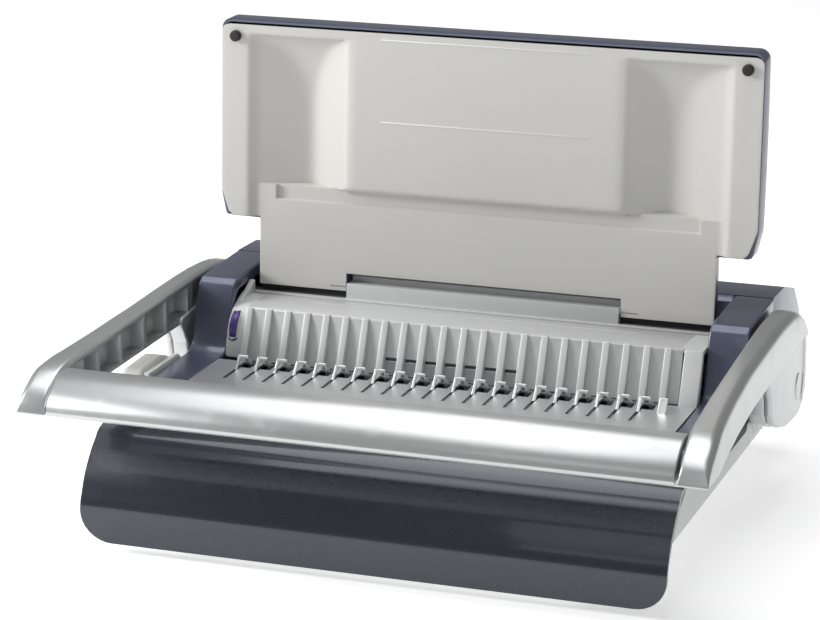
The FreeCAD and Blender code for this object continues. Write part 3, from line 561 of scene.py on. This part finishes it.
@dataclass
class Lid:
    """The raised lid: a moulded liner, the shell behind it and two stops."""

    at: Frame
    scoop_inner: float = 101
    scoop_outer: float = 174
    scoop_low: float = 194
    slot_low: float = 184
    scoop_high: float = 299
    scoop_depth: float = 13.5
    neck_step: float = 3.4
    slot_depth: float = 2.8
    notch_half: float = 100
    notch_top: float = 134.7
    wing_low: float = 170.5
    neck_half: float = 165.2
    sheet: float = 2.2
    marks_at: tuple = (301.6, 244.5)
    mark_half: float = 75
    shell_wall: float = 2.4
    shell_depth: float = 14.2
    stop_x: float = 182.8
    stop_z: float = 298

    def build(self) -> None:
        """Models and dresses the lid's pieces."""
        Shop.deliver(self.liner(), "lid", "warm_grey", WARM_GREY, "lid_liner", angle=40)
        Shop.deliver(self.marks(), "lid", "warm_grey", MARKING)
        Shop.deliver(self.shell(), "lid", "dark_blue", DARK_BLUE, "lid_shell", angle=35)
        Shop.deliver(self.stops(), "lid", "rubber", RUBBER, "lid_stops")

    def face(self, z: float) -> float:
        """The Y of the liner's plane at a height."""
        share = (z - self.at.lid_low) / (self.at.lid_rim - self.at.lid_low)
        return self.at.lid_foot + 10 * share

    def depth(self, x: float, z: float) -> float:
        """How far the liner lies behind its plane.

        Args:
            x: Across the lid.
            z: Height.

        Returns:
            The depth in millimetres.
        """
        side = abs(x)
        walls = [(side - self.scoop_inner) / 29, (self.scoop_outer - side) / 43]
        fall = float(np.clip((self.scoop_high - z) / 58, 0, 1))
        walls.append(math.sqrt(1 - (1 - fall) ** 2))
        bowl = -0.05 * math.log(sum(math.exp(-max(0.0, wall) / 0.05) for wall in walls))
        bowl = max(0.0, min(1.0, bowl)) * (z > self.scoop_low) * (min(walls) > 0)
        ramp = ease(self.scoop_low - 4, self.scoop_low + 3, z) if side <= self.scoop_inner else 0
        slope = 1 if side > self.scoop_inner and z > self.scoop_low else ramp
        neck = self.neck_step * (1 - slope) * float(ease(0, 6, self.scoop_outer - side))
        rim = 1.4 * ease(self.scoop_inner - 3, self.scoop_inner + 1, side) * (z > self.scoop_low)
        rim *= float(ease(0, 7, self.scoop_outer - side)) * float(ease(0, 3, self.scoop_high + 2 - z))
        slot = self.slot_depth * (self.slot_low < z < self.scoop_low) * (side < 153) * (1 - slope)
        return float(self.scoop_depth * bowl + neck + rim + slot)

    def reach(self, z: float) -> float:
        """Half the liner's width at a height."""
        rim = self.at.lid_half - 0.5
        low = self.wing_low
        corner = table_value([(low, 9), (low + 3, 5.5), (low + 9, 3.4), (low + 19, 0)], z)
        top = max(0.0, z - (self.at.lid_rim - 5))
        return rim - corner - (5 - math.sqrt(max(0.0, 25 - top * top)))

    def liner(self) -> Object:
        """The light inner moulding."""
        stops = [0, 25, 50, 75, 92, 98, self.notch_half, 101, 102, 103.5]
        columns = [*stops, *np.arange(106, 152, 3.0), 152.6, 153.4]
        columns += [*np.arange(156, 163, 3.0), 163.4, self.neck_half]
        columns = [-value for value in columns[:0:-1]] + [float(value) for value in columns]
        rows = [self.at.lid_low, 124, 127, 131, self.notch_top, 140, 150, 160, 166, self.wing_low]
        rows += [172, 173.5, 176, 179.5, 182, 183.8, 184.3, 187, 189, 190, 191, 192, 193, 193.7, 194.2]
        rows += [195, 196, 197, *np.arange(199, 300, 3.0), 300, 301, 302, 303, 304, 305, self.at.lid_rim]
        shares = [0.12, 0.24, 0.3, 0.36, 0.5, 0.75, 0.92, 1]
        data = bmesh.new()
        grid = {}
        for row, z in enumerate(rows):
            spots = list(columns)
            if z >= self.wing_low:
                wing = [self.neck_half + share * (self.reach(z) - self.neck_half) for share in shares]
                spots = [-value for value in wing[::-1]] + spots + wing
            for x in spots:
                place = (x, self.face(z) + self.depth(x, z), z)
                grid[row, spots.index(x) - len(spots) // 2] = data.verts.new(Vector(place) * MM)
        for (row, column), vertex in list(grid.items()):
            around = [grid.get(key) for key in ((row, column + 1), (row + 1, column + 1), (row + 1, column))]
            middle = rows[row] < self.notch_top - 0.1 and abs(vertex.co.x / MM + 0.1) <= self.notch_half
            if all(around) and not middle:
                data.faces.new((vertex, *around))
        mesh = bpy.data.meshes.new("lid_liner_visual")
        data.to_mesh(mesh)
        data.free()
        item = Shop.placed("liner", mesh)
        Shop.select(item)
        bpy.ops.object.mode_set(mode="EDIT")
        bpy.ops.mesh.select_all(action="SELECT")
        bpy.ops.mesh.delete_loose()
        bpy.ops.object.mode_set(mode="OBJECT")
        Shop.mend(item)
        if item.data.polygons[len(item.data.polygons) // 2].normal.y > 0:
            item.data.flip_normals()
        Shop.apply(item, "SOLIDIFY", thickness=self.sheet * MM, offset=-1)
        return Shop.soften(item, 0.7, 3, 50)

    def marks(self) -> Object:
        """Two thin size lines that stand on the middle of the liner."""
        lines = []
        for z in self.marks_at:
            y = self.face(z)
            lines.append(Shop.block("size_lines", (-self.mark_half, y - 0.45, z - 0.4),
                                    (self.mark_half, y + 0.6, z + 0.4)))
        return Shop.soften(Shop.join(*lines), 0.15, 2)

    def shell(self) -> Object:
        """The dark outer shell, open at the front."""
        at = self.at
        half, neck, low, foot = at.lid_half, 164.4, at.lid_top - 141, at.lid_low + 1
        notch, lintel = self.notch_half, self.notch_top + 0.4
        corners = [(-neck, foot), (-notch, foot), (-notch, lintel), (notch, lintel), (notch, foot),
                   (neck, foot), (neck, low), (half - 4, low), (half, low + 18),
                   (half, at.lid_top - 0.2), (-half, at.lid_top - 0.2), (-half, low + 18),
                   (-half + 4, low), (-neck, low)]
        outline = rounded(corners, [3, 1, 2, 2, 1, 3, 3, 5, 20, 7, 7, 20, 5, 3])
        item = Shop.prism("shell", outline, "y", 0, self.shell_depth)
        bpy.ops.object.mode_set(mode="EDIT")
        mesh = bmesh.from_edit_mesh(item.data)
        front = [face for face in mesh.faces if face.calc_center_median().y < 0.01 * MM]
        bmesh.ops.delete(mesh, geom=front, context="FACES_ONLY")
        bmesh.update_edit_mesh(item.data)
        for z in range(140, 308, 14):
            bpy.ops.mesh.select_all(action="SELECT")
            bpy.ops.mesh.bisect(plane_co=(0, 0, z * MM), plane_no=(0, 0, 1))
        bpy.ops.object.mode_set(mode="OBJECT")
        Shop.soften(item, 9, 6, 50)
        for vertex in item.data.vertices:
            z = vertex.co.z / MM
            bulge = 3.6 * ease(8, 14, vertex.co.y / MM) * (1 - ((z - 238) / 75) ** 2 if z > 170 else 0.18)
            rim = self.neck_step if vertex.co.y < 1 * MM and z < self.wing_low else 0
            vertex.co.y += (self.face(z) + bulge + rim + 1.6) * MM
        Shop.apply(item, "SOLIDIFY", thickness=self.shell_wall * MM, offset=-1)
        return Shop.soften(item, 0.5, 2, 60)

    def stops(self) -> Object:
        """Two black buttons that the lid closes on."""
        pair = []
        for side in (-1, 1):
            y = self.face(self.stop_z)
            button = Shop.rod("stops", (side * self.stop_x, y - 1.2, self.stop_z), "y", 3.9, 4.6, 40)
            pair.append(Shop.soften(button, 1.1, 4))
        return Shop.join(*pair)


@dataclass
class Shells:
    """The fixed body: tray, front panel, side bands, rear cover, deck and feet."""

    at: Frame
    panel_wall: float = 3
    band_thick: float = 9
    foot_x: float = 118.3
    foot_rows: tuple = (-130, 150)
    panel_line: tuple = ((-168, 6), (-170, 28), (-166, 40), (-161, 50), (-154, 59), (-145, 67.5),
                         (-129, 76), (-62.3, 83.2))

    def build(self) -> None:
        """Models and dresses the body's pieces."""
        Shop.deliver(self.tray(), "base", "light_grey", LIGHT_GREY, "base_tray")
        # The front panel gets the darker copy of the dark blue lacquer: painted shade.
        Shop.deliver(self.panel(), "base", "dark_blue", SHADED_PANEL_BLUE, "front_cover", angle=38)
        bands = Shop.join(self.band(-1), self.band(1))
        Shop.deliver(bands, "base", "dark_blue", DARK_BLUE, angle=38)
        for node, width in (("rear_cover", 4), ("rear_deck", 0.8)):
            copy = Shop.copy_of(node, f"shell_{node}", width, 4)
            Shop.deliver(copy, "base", "dark_blue", DARK_BLUE, node)
        Shop.deliver(self.feet(), "base", "rubber", RUBBER, "feet")
        # A black sheet on the right flank: painted shade.
        Shop.deliver(self.flank_shade(), "base", "black_plastic", BLACK)

    def tray(self) -> Object:
        """The light tray with a few ribs on its right flank."""
        item = Shop.copy_of("base_tray", "tray", 1.6)
        ribs = []
        for index in range(5):
            y = 56 + index * 10
            outline = [(197, 50), (197.6, 52), (197.6, 66), (196, 69)]
            rib = Shop.prism("rib", outline, "y", y, y + 3.4)
            ribs.append(Shop.soften(rib, 0.25, 2))
        return Shop.join(item, *ribs)

    def panel(self) -> Object:
        """The glossy front panel with round lower corners."""
        line = smooth_line(self.panel_line, 4)
        inner = [(y + self.panel_wall, z - 0.8 * self.panel_wall * (z > 40)) for y, z in line[::-1]]
        item = Shop.prism("panel", [*line, *inner], "x", -self.at.half, self.at.half)
        corners = box_outline(-self.at.half, self.at.panel_foot, self.at.half, 100)
        cutter = Shop.prism("corners", rounded(corners, [21, 21, 0.5, 0.5], 9), "y", -196, 0)
        item = Shop.carve(item, cutter, keep="INTERSECT")
        return Shop.soften(item, 1.1, 3, 50)

    def band(self, side: int) -> Object:
        """A side band that runs from the panel over the throat to the deck.

        Args:
            side: -1 for the left, 1 for the right.

        Returns:
            The band.
        """
        at = self.at
        top = [(-63, 83.4), (at.throat - 14, at.throat_level), (at.throat - 4, at.throat_level + 1.2),
               (at.throat + 3, at.throat_level + 9), (at.throat + 13, at.deck - 11),
               (at.throat + 19, at.deck - 3.4), (at.throat + 29, at.deck - 1.6), (at.split - 0.2, at.deck)]
        line = [top[0], *smooth_line(top[1:], 5)]
        under = [(y + 3.5 * (self.band_thick / 9), z - self.band_thick) for y, z in line[::-1]]
        under[0] = (at.split - 0.2, at.deck - self.band_thick)
        under[-1] = (-63, 83.4 - self.band_thick)
        low, high = sorted((side * at.band, side * (at.half + 0.5)))
        item = Shop.prism("band", [*line, *under], "x", low, high)
        return Shop.soften(item, 4.2, 6, 50)

    def feet(self) -> Object:
        """Four rubber feet, round under and dished."""
        feet = []
        for x in (-self.foot_x, self.foot_x):
            for y in self.foot_rows:
                foot = Shop.rod("pads", (x, y, 2.5), "z", 7.9, 5, 40)
                Shop.select(foot)
                bpy.ops.object.mode_set(mode="EDIT")
                mesh = bmesh.from_edit_mesh(foot.data)
                for face in mesh.faces:
                    face.select = face.normal.z < -0.9
                bpy.ops.mesh.inset(thickness=3.4 * MM)
                bpy.ops.transform.translate(value=(0, 0, 1.2 * MM))
                bpy.ops.object.mode_set(mode="OBJECT")
                feet.append(Shop.soften(foot, 0.5, 3))
        return Shop.join(*feet)

    def flank_shade(self) -> Object:
        """A thin black sheet on the right flank: painted shade, standing in for a shaded hollow that is not
        modelled.
        """
        outline = rounded([(-36, 69.5), (-30, 60.5), (34, 60.5), (40, 69.5)], [2, 6, 6, 2])
        return Shop.soften(Shop.prism("flank_shade_sheet", outline, "x", 195.6, 197.7), 0.4, 2)


@dataclass
class PunchFace:
    """The ribbed punch guide, hinge block, comb plate, hooks and depth wheel."""

    at: Frame
    foot: float = 82
    crest: tuple = (20, 117.8)
    fin_front: float = 3.5
    fin_width: float = 4.8
    fin_shift: float = -3.2
    hollow: tuple = ((10, 82), (11.4, 86), (14.4, 94), (17.4, 104), (19.4, 112), (20.2, 116.6))
    end_line: tuple = ((13, 82), (15, 92), (19, 104), (26, 112.3), (33, 116.3), (41, 118))
    deck_rear: float = 55.8
    hook_foot: float = -17
    hook_tip: float = -10
    hook_level: float = 91.4
    wire: float = 1.9
    slot_run: float = 21.6
    plate_top: float = 131.8
    windows_low: float = 84
    window_half: float = 4.75
    window_count: int = 7
    wheel_width: float = 4.8

    def build(self) -> None:
        """Models and dresses the pieces of the throat."""
        Shop.deliver(self.guide(), "base", "deck_grey", DECK_GREY, "punch_guide", angle=28)
        Shop.deliver(self.hinge_bar(), "base", "light_grey", DECK_GREY, "hinge_block")
        Shop.deliver(self.plate(), "base", "satin_steel", SATIN_STEEL, "comb_plate")
        Shop.deliver(self.hooks(), "hooks", "chrome", CHROME, "comb_hooks")
        low = self.at.last_finger - 0.5
        finger = Shop.prism("finger", self.lean(), "x", low, low + 5.6)
        finger = Shop.soften(finger, 0.4, 3, 25)
        Shop.deliver(finger, "base", "chrome", CHROME, "end_finger")
        Shop.deliver(self.tabs(), "base", "steel", STEEL)
        # Black sheets in the guide's windows: painted shade inside the openings.
        Shop.deliver(self.windows(), "base", "black_plastic", BLACK)
        Shop.deliver(self.window_plates(), "base", "steel", STEEL)
        # Black blocks under the lid's tabs: painted shadow in the paper slot.
        Shop.deliver(self.slot_shadow(), "base", "black_plastic", BLACK)
        Shop.deliver(self.wheel(), "wheel", "purple", PURPLE, "depth_wheel", angle=25)
        # A black sheet round the thumb wheel: painted shade of its slot.
        Shop.deliver(self.wheel_slot_shade(), "base", "black_plastic", BLACK)

    def guide(self) -> Object:
        """The guide's hollow wall, deck, ends and fins."""
        at, (edge, top) = self.at, self.crest
        front = smooth_line(self.hollow, 4)
        outline = [*front, (edge + 1.2, top), (self.deck_rear, top + 0.2), (self.deck_rear, top - 3),
                   (edge + 4.5, top - 3.4), (17, 93), (13.5, self.foot)]
        first = at.first_hook + self.fin_shift
        inner = -first + self.fin_width / 2
        item = Shop.soften(Shop.prism("guide", outline, "x", -inner, inner), 0.5, 2, 50)
        rib = [(self.fin_front, self.foot), (edge, top - 0.1), (edge + 3, top - 0.4), (12, self.foot)]
        fin = Shop.prism("fins", rib, "x", first - self.fin_width / 2, first + self.fin_width / 2)
        fins = Shop.row(Shop.soften(fin, 0.5, 3, 50), HOOKS + 1, at.pitch)
        parts = [fins]
        ends = [*smooth_line(self.end_line, 4), (self.deck_rear, top + 0.2), (self.deck_rear, top - 3),
                (38, 113), (28, 108), (22, 100), (18, self.foot)]
        left = Shop.prism("ends", ends, "x", -at.centre, -inner + 0.5)
        right = Shop.prism("right_end", rib, "x", inner + 1.5, at.centre)
        deck = Shop.block("right_deck", (inner - 1, edge + 1, top - 3),
                          (at.centre, self.deck_rear, top + 0.1))
        parts += [Shop.soften(left, 1.2, 3, 50), Shop.soften(right, 0.6, 3, 50), deck]
        cheek = rounded([(30, 104), (30, top - 3.3), (38, top + 0.6), (50, top + 4), (61, top + 9),
                         (62, 106)], [1, 1, 12, 18, 1, 1], 5)
        cheek = Shop.prism("cheek", cheek, "x", -at.centre, -at.centre + 4.2)
        parts.append(Shop.soften(cheek, 1.6, 4, 50))
        sill = Shop.block("sill", (-at.centre, 60.2, top - 3.6), (at.centre, 65.8, top - 0.2))
        line = Shop.block("deck_line", (-118, 46.2, top - 0.5), (118, 46.8, top + 0.3))
        return Shop.join(item, *parts, Shop.soften(sill, 0.5, 2), Shop.soften(line, 0.1, 1))

    def hinge_bar(self) -> Object:
        """The light block between the lid's tabs, with the plate behind it."""
        item = Shop.copy_of("hinge_block", "hinge_bar", 1.2)
        low, high = extent("hinge_block")
        plate = Shop.block("plate", (low.x + 0.5, high.y - 0.6, high.z - 8),
                           (high.x - 0.5, high.y + 3, self.plate_top))
        return Shop.join(item, Shop.soften(plate, 1.0, 3))

    def plate(self) -> Object:
        """The steel plate that the comb lies on, with a slot and an opening for each hook."""
        at = self.at
        low, high = at.throat_level - 1.5, at.throat_level
        item = Shop.block("comb_floor", (-at.centre, at.comb_front, low),
                          (at.centre, at.comb_rear, high))
        x = at.first_hook
        slot = Shop.block("slot", (x - SEAM, self.hook_foot - self.slot_run, low - 1),
                          (x + self.wire + SEAM, self.hook_foot + 6, high + 1))
        gap = Shop.block("gap", (x - SEAM, self.hook_foot + 5, low - 1), (x + 9.4, 1, high + 1))
        return Shop.carve(item, Shop.row(slot, HOOKS, at.pitch), Shop.row(gap, HOOKS, at.pitch))

    def lean(self) -> list[Point]:
        """The side outline of a hook's stem, which leans to the rear."""
        at, half = self.at, self.wire / 2
        return [(self.hook_foot - half, at.throat_level - 4), (self.hook_foot + half, at.throat_level - 4),
                (self.hook_foot + half, at.throat_level), (self.hook_tip + half, self.hook_level - 0.6),
                (self.hook_tip + half, self.hook_level + half), (self.hook_tip - half, self.hook_level + half),
                (self.hook_tip - half, self.hook_level), (self.hook_foot - half, at.throat_level)]

    def hooks(self) -> Object:
        """The row of thin bent hooks."""
        at, half = self.at, self.wire / 2
        x = at.first_hook
        stem = Shop.soften(Shop.prism("hook_row", self.lean(), "x", x, x + self.wire), 0.35, 3, 25)
        arm = Shop.block("reach", (x, self.hook_tip - half, self.hook_level - half - 0.1),
                         (x + 7.4, self.hook_tip + half, self.hook_level + half))
        return Shop.row(Shop.join(stem, Shop.soften(arm, 0.4, 3)), HOOKS, at.pitch)

    def tabs(self) -> Object:
        """A small upright tab in the opening beside each hook."""
        at = self.at
        x, low = at.first_hook + 5, at.throat_level - 3
        outline = [(x, low), (x + 3, low), (x + 3, low + 6.4), (x + 0.8, low + 7.6), (x, low + 7)]
        tab = Shop.prism("side_tabs", outline, "y", -5.4, -4.6)
        return Shop.row(Shop.soften(tab, 0.2, 2), HOOKS, at.pitch)

    def window_row(self, name: str, low: float, high: float, proud: float) -> Object:
        """A row of plates that lie on the hollow wall between the fins.

        Args:
            name: The object's name.
            low: Their lower edge.
            high: Their upper edge.
            proud: How far they stand out from the wall.

        Returns:
            The row.
        """
        wall = [(z, y) for y, z in self.hollow]
        one, two = table_value(wall, low), table_value(wall, high)
        outline = [(one - proud, low), (two - proud, high), (two + 1, high), (one + 1, low)]
        x = self.at.first_hook + self.fin_shift + 7.5 * self.at.pitch
        plate = Shop.prism(name, outline, "x", x - self.window_half, x + self.window_half)
        return Shop.row(Shop.soften(plate, 0.1, 1), self.window_count, self.at.pitch)

    def windows(self) -> Object:
        """Black sheets in the windows at the foot of the guide: painted shade that shows as a dark strip above
        the steel plates.
        """
        return self.window_row("window_shade_strips", self.windows_low, 93.4, 0.25)

    def slot_shadow(self) -> Object:
        """Black blocks along the paper slot, under the lid's tabs: painted shadow in the gap that the tabs
        shade.
        """
        top = self.crest[1]
        end = self.at.centre
        shadow_strip = Shop.block("slot_shadow_strip", (-end, 65.9, top - 3.4), (end, 72, top - 0.1))
        wall = Shop.block("wall", (-end + 5, 71, top - 3.4), (end - 5, 75.5, top + 2.8))
        return Shop.soften(Shop.join(shadow_strip, wall), 0.3, 2)

    def window_plates(self) -> Object:
        """The steel that shows in the windows."""
        return self.window_row("window_steel", self.windows_low, 91.4, 0.6)

    def wheel(self) -> Object:
        """The ribbed thumb wheel."""
        low, high = extent("depth_wheel")
        centre = (low + high) / 2
        item = Shop.rod("thumb_wheel", centre, "x", (high.z - low.z) / 2, self.wheel_width, 72)
        Shop.select(item)
        bpy.ops.object.mode_set(mode="EDIT")
        mesh = bmesh.from_edit_mesh(item.data)
        for index, face in enumerate([face for face in mesh.faces if len(face.verts) == 4]):
            face.select = index % 3 == 0
        for face in mesh.faces:
            face.select = face.select and len(face.verts) == 4
        bmesh.update_edit_mesh(item.data)
        bpy.ops.mesh.inset(thickness=0.18 * MM, depth=-0.55 * MM, use_individual=True)
        bpy.ops.object.mode_set(mode="OBJECT")
        return Shop.soften(item, 0.25, 2, 40)

    def wheel_slot_shade(self) -> Object:
        """A black round-ended sheet round the wheel: painted shade in the slot that the wheel shows through.
        """
        low, high = extent("depth_wheel")
        outline = rounded(box_outline(low.x - 0.7, 93.5, high.x + 0.9, 113.3), 4.2, 8)
        item = Shop.prism("wheel_slot_shade_sheet", outline, "y", 0, 1.5)
        for vertex in item.data.vertices:
            vertex.co.y += (table_value([(z, y) for y, z in self.end_line], vertex.co.z / MM) - 0.3) * MM
        return Shop.soften(item, 0.2, 2, 60)


@dataclass
class Handle:
    """The pull handle: two flared arms with pivot lobes, the bar between them and its strip."""

    at: Frame
    inner: tuple = ((-196, 208.6), (-179, 208.0), (-115, 205.4), (5, 202.2), (91, 199.9), (164, 199.3))
    outer: tuple = ((-196, 228.0), (-169, 227.9), (-133, 224.6), (-98, 222.0), (-48, 219.6), (3, 218.9),
                    (52, 218.5), (164, 218.3))
    top: tuple = ((-195.5, 99.5), (-193, 106), (-186, 113.5), (-176, 119.6), (-166, 123.2), (-150, 125.2),
                  (-64, 129.6), (20, 132.6), (60, 132.8), (85, 131), (100, 128), (110, 123.8), (117, 118.6),
                  (122, 112), (124.5, 107))
    bottom: tuple = ((-195.5, 98.5), (-192, 97.3), (-160, 97.2), (60, 104), (124.5, 104.5))
    lobe: tuple = ((6, 108), (13, 97), (18, 88), (20, 77), (27, 69), (44, 62), (66, 56), (90, 53.4),
                   (106, 53.6), (117, 58), (123.4, 67), (125, 80), (124, 100), (119, 118))
    bar_line: tuple = ((-196, 101), (-194.4, 105.6), (-190.6, 110.4), (-185, 115), (-177.5, 119.7),
                       (-169, 121.8), (-160.5, 120.8), (-156.6, 116), (-155.9, 109), (-157, 100.6),
                       (-160, 97.6), (-172, 97.2), (-190, 97.4), (-194.4, 98.4))
    stations: tuple = (-195.5, -195, -194, -192, -189, -185, -180, -174, -168, -160, -150, -133, -115, -98,
                       -72, -48, -20, 5, 30, 52, 75, 88, 98, 106, 112, 116, 119.5, 122, 123.8, 124.5)
    rib_starts: tuple = (-150, -116, -81, -45, -9, 30)
    pocket_run: float = 31
    boss_level: float = 75
    bar_half: float = 206.9

    def build(self) -> None:
        """Models and dresses the handle's pieces."""
        right = self.arm()
        left = Shop.mirrored(right, "left_arm")
        Shop.deliver(right, "handle", "silver", SILVER, "arm_right", angle=40)
        Shop.deliver(left, "handle", "silver", SILVER, "arm_left", angle=40)
        cover = self.cover()
        other = Shop.mirrored(cover, "left_pivot_cover")
        Shop.deliver(cover, "handle", "silver", SILVER, "pivot_cover_right", angle=40)
        Shop.deliver(other, "handle", "silver", SILVER, "pivot_cover_left", angle=40)
        Shop.deliver(self.bar(), "handle", "silver", SILVER, "handle_bar", angle=50)
        strip = Shop.copy_of("bar_strip", "grip_strip", 1.4, 4)
        Shop.deliver(strip, "handle", "light_grey", LIGHT_GREY, "bar_strip")

    def ring(self, y: float) -> list[Point]:
        """One section of the right arm."""
        low, high = table_value(self.bottom, y), table_value(self.top, y)
        left, right = table_value(self.inner, y), min(table_value(self.outer, y), self.at.arm_outer - 0.1)
        height = max(high - low, 1.5)
        small, large = min(2.2, 0.3 * height), min(6.5, 0.4 * height)
        corners = [(left, low), (right, low), (right, low + height), (left, low + height)]
        return [(x, y, z) for x, z in rounded(corners, [small, small, large, min(3.2, large)], 6)]

    def arm(self) -> Object:
        """The right arm with its pivot lobe and hollow inner side."""
        arm = Shop.loft("right_arm", [self.ring(y) for y in self.stations])
        for start in self.rib_starts:
            end = start + self.pocket_run
            one, two = table_value(self.inner, start), table_value(self.inner, end)
            outline = [(one - 3, start), (two - 3, end), (two + 10, end), (one + 10, start)]
            floor, roof = 101 + (start + 150) * 0.035, table_value(self.top, start) - 4.5
            arm = Shop.carve(arm, Shop.prism("pocket", outline, "z", floor, roof))
        arm = Shop.soften(arm, 0.6, 2, 50)
        lobe = Shop.prism("lobe", rounded(self.lobe, 3, 3), "x", 200.2, 212.6)
        return Shop.join(arm, Shop.soften(lobe, 1.8, 4, 50))

    def cover(self) -> Object:
        """The right pivot cover: a rounded plate with a raised rear border and a boss."""
        plate = Shop.prism("pivot_cover", rounded(self.lobe, 3, 3), "x", 212.4, 217.6)
        plate = Shop.soften(plate, 2.4, 5, 50)
        border = [(112, 58), (121.4, 68), (123, 80), (122, 100), (117, 116), (110, 116), (114, 99),
                  (114.6, 80), (110, 66)]
        ridge = Shop.soften(Shop.prism("ridge", rounded(border, 2, 3), "x", 215, 218.3), 1.4, 4, 50)
        boss = Shop.rod("boss", (216.4, 99, self.boss_level), "x", 8, 3.6, 48)
        for vertex in boss.data.vertices:
            vertex.co.z = (self.boss_level + (vertex.co.z / MM - self.boss_level) * 1.25) * MM
        return Shop.join(plate, ridge, Shop.soften(boss, 1.5, 5))

    def bar(self) -> Object:
        """The wide rounded bar."""
        line = smooth_line([*self.bar_line, self.bar_line[0]], 5)[:-1]
        line = [(max(y, self.at.front), z) for y, z in line]
        return Shop.soften(Shop.prism("pull_bar", line, "x", -self.bar_half, self.bar_half), 0.7, 2, 60)


@dataclass
class Opener:
    """The comb lever on the left with its soft-edged grip."""

    at: Frame

    def build(self) -> None:
        """Models and dresses the lever and its grip."""
        arm = Shop.copy_of("lever_arm", "comb_lever_arm", 0.9)
        Shop.deliver(arm, "comb_lever", "light_grey", LIGHT_GREY, "lever_arm")
        low, high = extent("lever_grip")
        outline = rounded([(low.y, low.z + 4), (high.y, low.z), (high.y, high.z - 5), (high.y - 16, high.z),
                           (low.y + 3, high.z - 1)], [7, 5, 7, 9, 8], 7)
        grip = Shop.soften(Shop.prism("comb_lever_grip", outline, "x", low.x, high.x), 3.4, 6, 50)
        Shop.deliver(grip, "comb_lever", "silver", WARM_GREY, "lever_grip")


@dataclass
class Drawer:
    """The chip drawer that slides out to the right."""

    at: Frame

    def build(self) -> None:
        """Models and dresses the drawer."""
        copy = Shop.copy_of("chip_drawer", "drawer", 0.8)
        Shop.deliver(copy, "drawer", "light_grey", LIGHT_GREY, "chip_drawer")


def dress_frame() -> None:
    """Gives each node of the frame that is still shown its finish."""
    for node, finish in HIDDEN_FINISHES.items():
        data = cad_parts[node].data
        data.materials.clear()
        data.materials.append(finish.material())


# ---- studio

@dataclass
class Studio:
    """A pale floor, soft lights and a camera to the machine's front right."""

    target: tuple = (0.0, 0.0, 0.135)
    lamps: tuple = (("key", (-2.35, -0.8, 1.2), 0.9, 62), ("top", (-0.3, 0.2, 2.3), 2.1, 34),
                    ("front", (0.2, -2.6, 1.9), 1.2, 3))
    floor_size: float = 14
    floor_glow: float = 0.42
    air: float = 0.24
    eye: tuple = (0.6374, -1.8924, 0.7082)
    right: tuple = (0.9434, 0.3317, -0.0011)
    back: tuple = (0.3192, -0.9067, 0.2756)
    lens: float = 135.68

    def build(self) -> None:
        """Sets the floor, the lights, the world and the camera."""
        bpy.ops.mesh.primitive_plane_add(size=self.floor_size)
        floor = bpy.context.object
        floor.name = "floor"
        recipe = Recipe("studio_floor")
        shade = recipe.noise(3, detail=2)
        recipe.feed(recipe.shader.inputs["Base Color"], recipe.blend(shade, (0.93,) * 3, (0.95,) * 3))
        recipe.shader.inputs["Roughness"].default_value = 0.75
        recipe.shader.inputs["Emission Color"].default_value = (1, 1, 1, 1)
        recipe.shader.inputs["Emission Strength"].default_value = self.floor_glow
        floor.data.materials.append(recipe.material)
        for lamp in self.lamps:
            self.lamp(*lamp)
        world = bpy.data.worlds.new("studio_air")
        world.use_nodes = True
        back = next(n for n in world.node_tree.nodes if n.bl_idname == "ShaderNodeBackground")
        back.inputs["Color"].default_value = (1, 1, 1, 1)
        back.inputs["Strength"].default_value = self.air
        bpy.context.scene.world = world
        bpy.context.scene.view_settings.view_transform = "Standard"
        self.camera()

    def lamp(self, name: str, place: Point, size: float, power: float) -> None:
        """A square soft light that faces the machine."""
        bpy.ops.object.light_add(type="AREA", location=place)
        light = bpy.context.object
        light.name = name
        light.data.size = size
        light.data.energy = power
        light.rotation_euler = (Vector(self.target) - Vector(place)).to_track_quat("-Z", "Y").to_euler()

    def camera(self) -> None:
        """A long lens at standing height, turned to the machine's front right."""
        right, back = Vector(self.right), Vector(self.back)
        up = back.cross(right)
        turn = Matrix((right, up, back)).transposed().to_4x4()
        bpy.ops.object.camera_add()
        camera = bpy.context.object
        camera.matrix_world = Matrix.Translation(self.eye) @ turn
        camera.data.lens = self.lens
        camera.data.sensor_width = 36
        bpy.context.scene.camera = camera


def main() -> None:
    """Builds the machine's looks round the frame, then the studio."""
    logging.basicConfig(level=logging.INFO, format="%(message)s")
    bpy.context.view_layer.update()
    at = Frame()
    for assembly in (Lid(at), Shells(at), PunchFace(at), Handle(at), Opener(at), Drawer(at)):
        LOG.info("building %s", type(assembly).__name__)
        assembly.build()
    dress_frame()
    Studio().build()


if __name__ == "__main__":
    main()
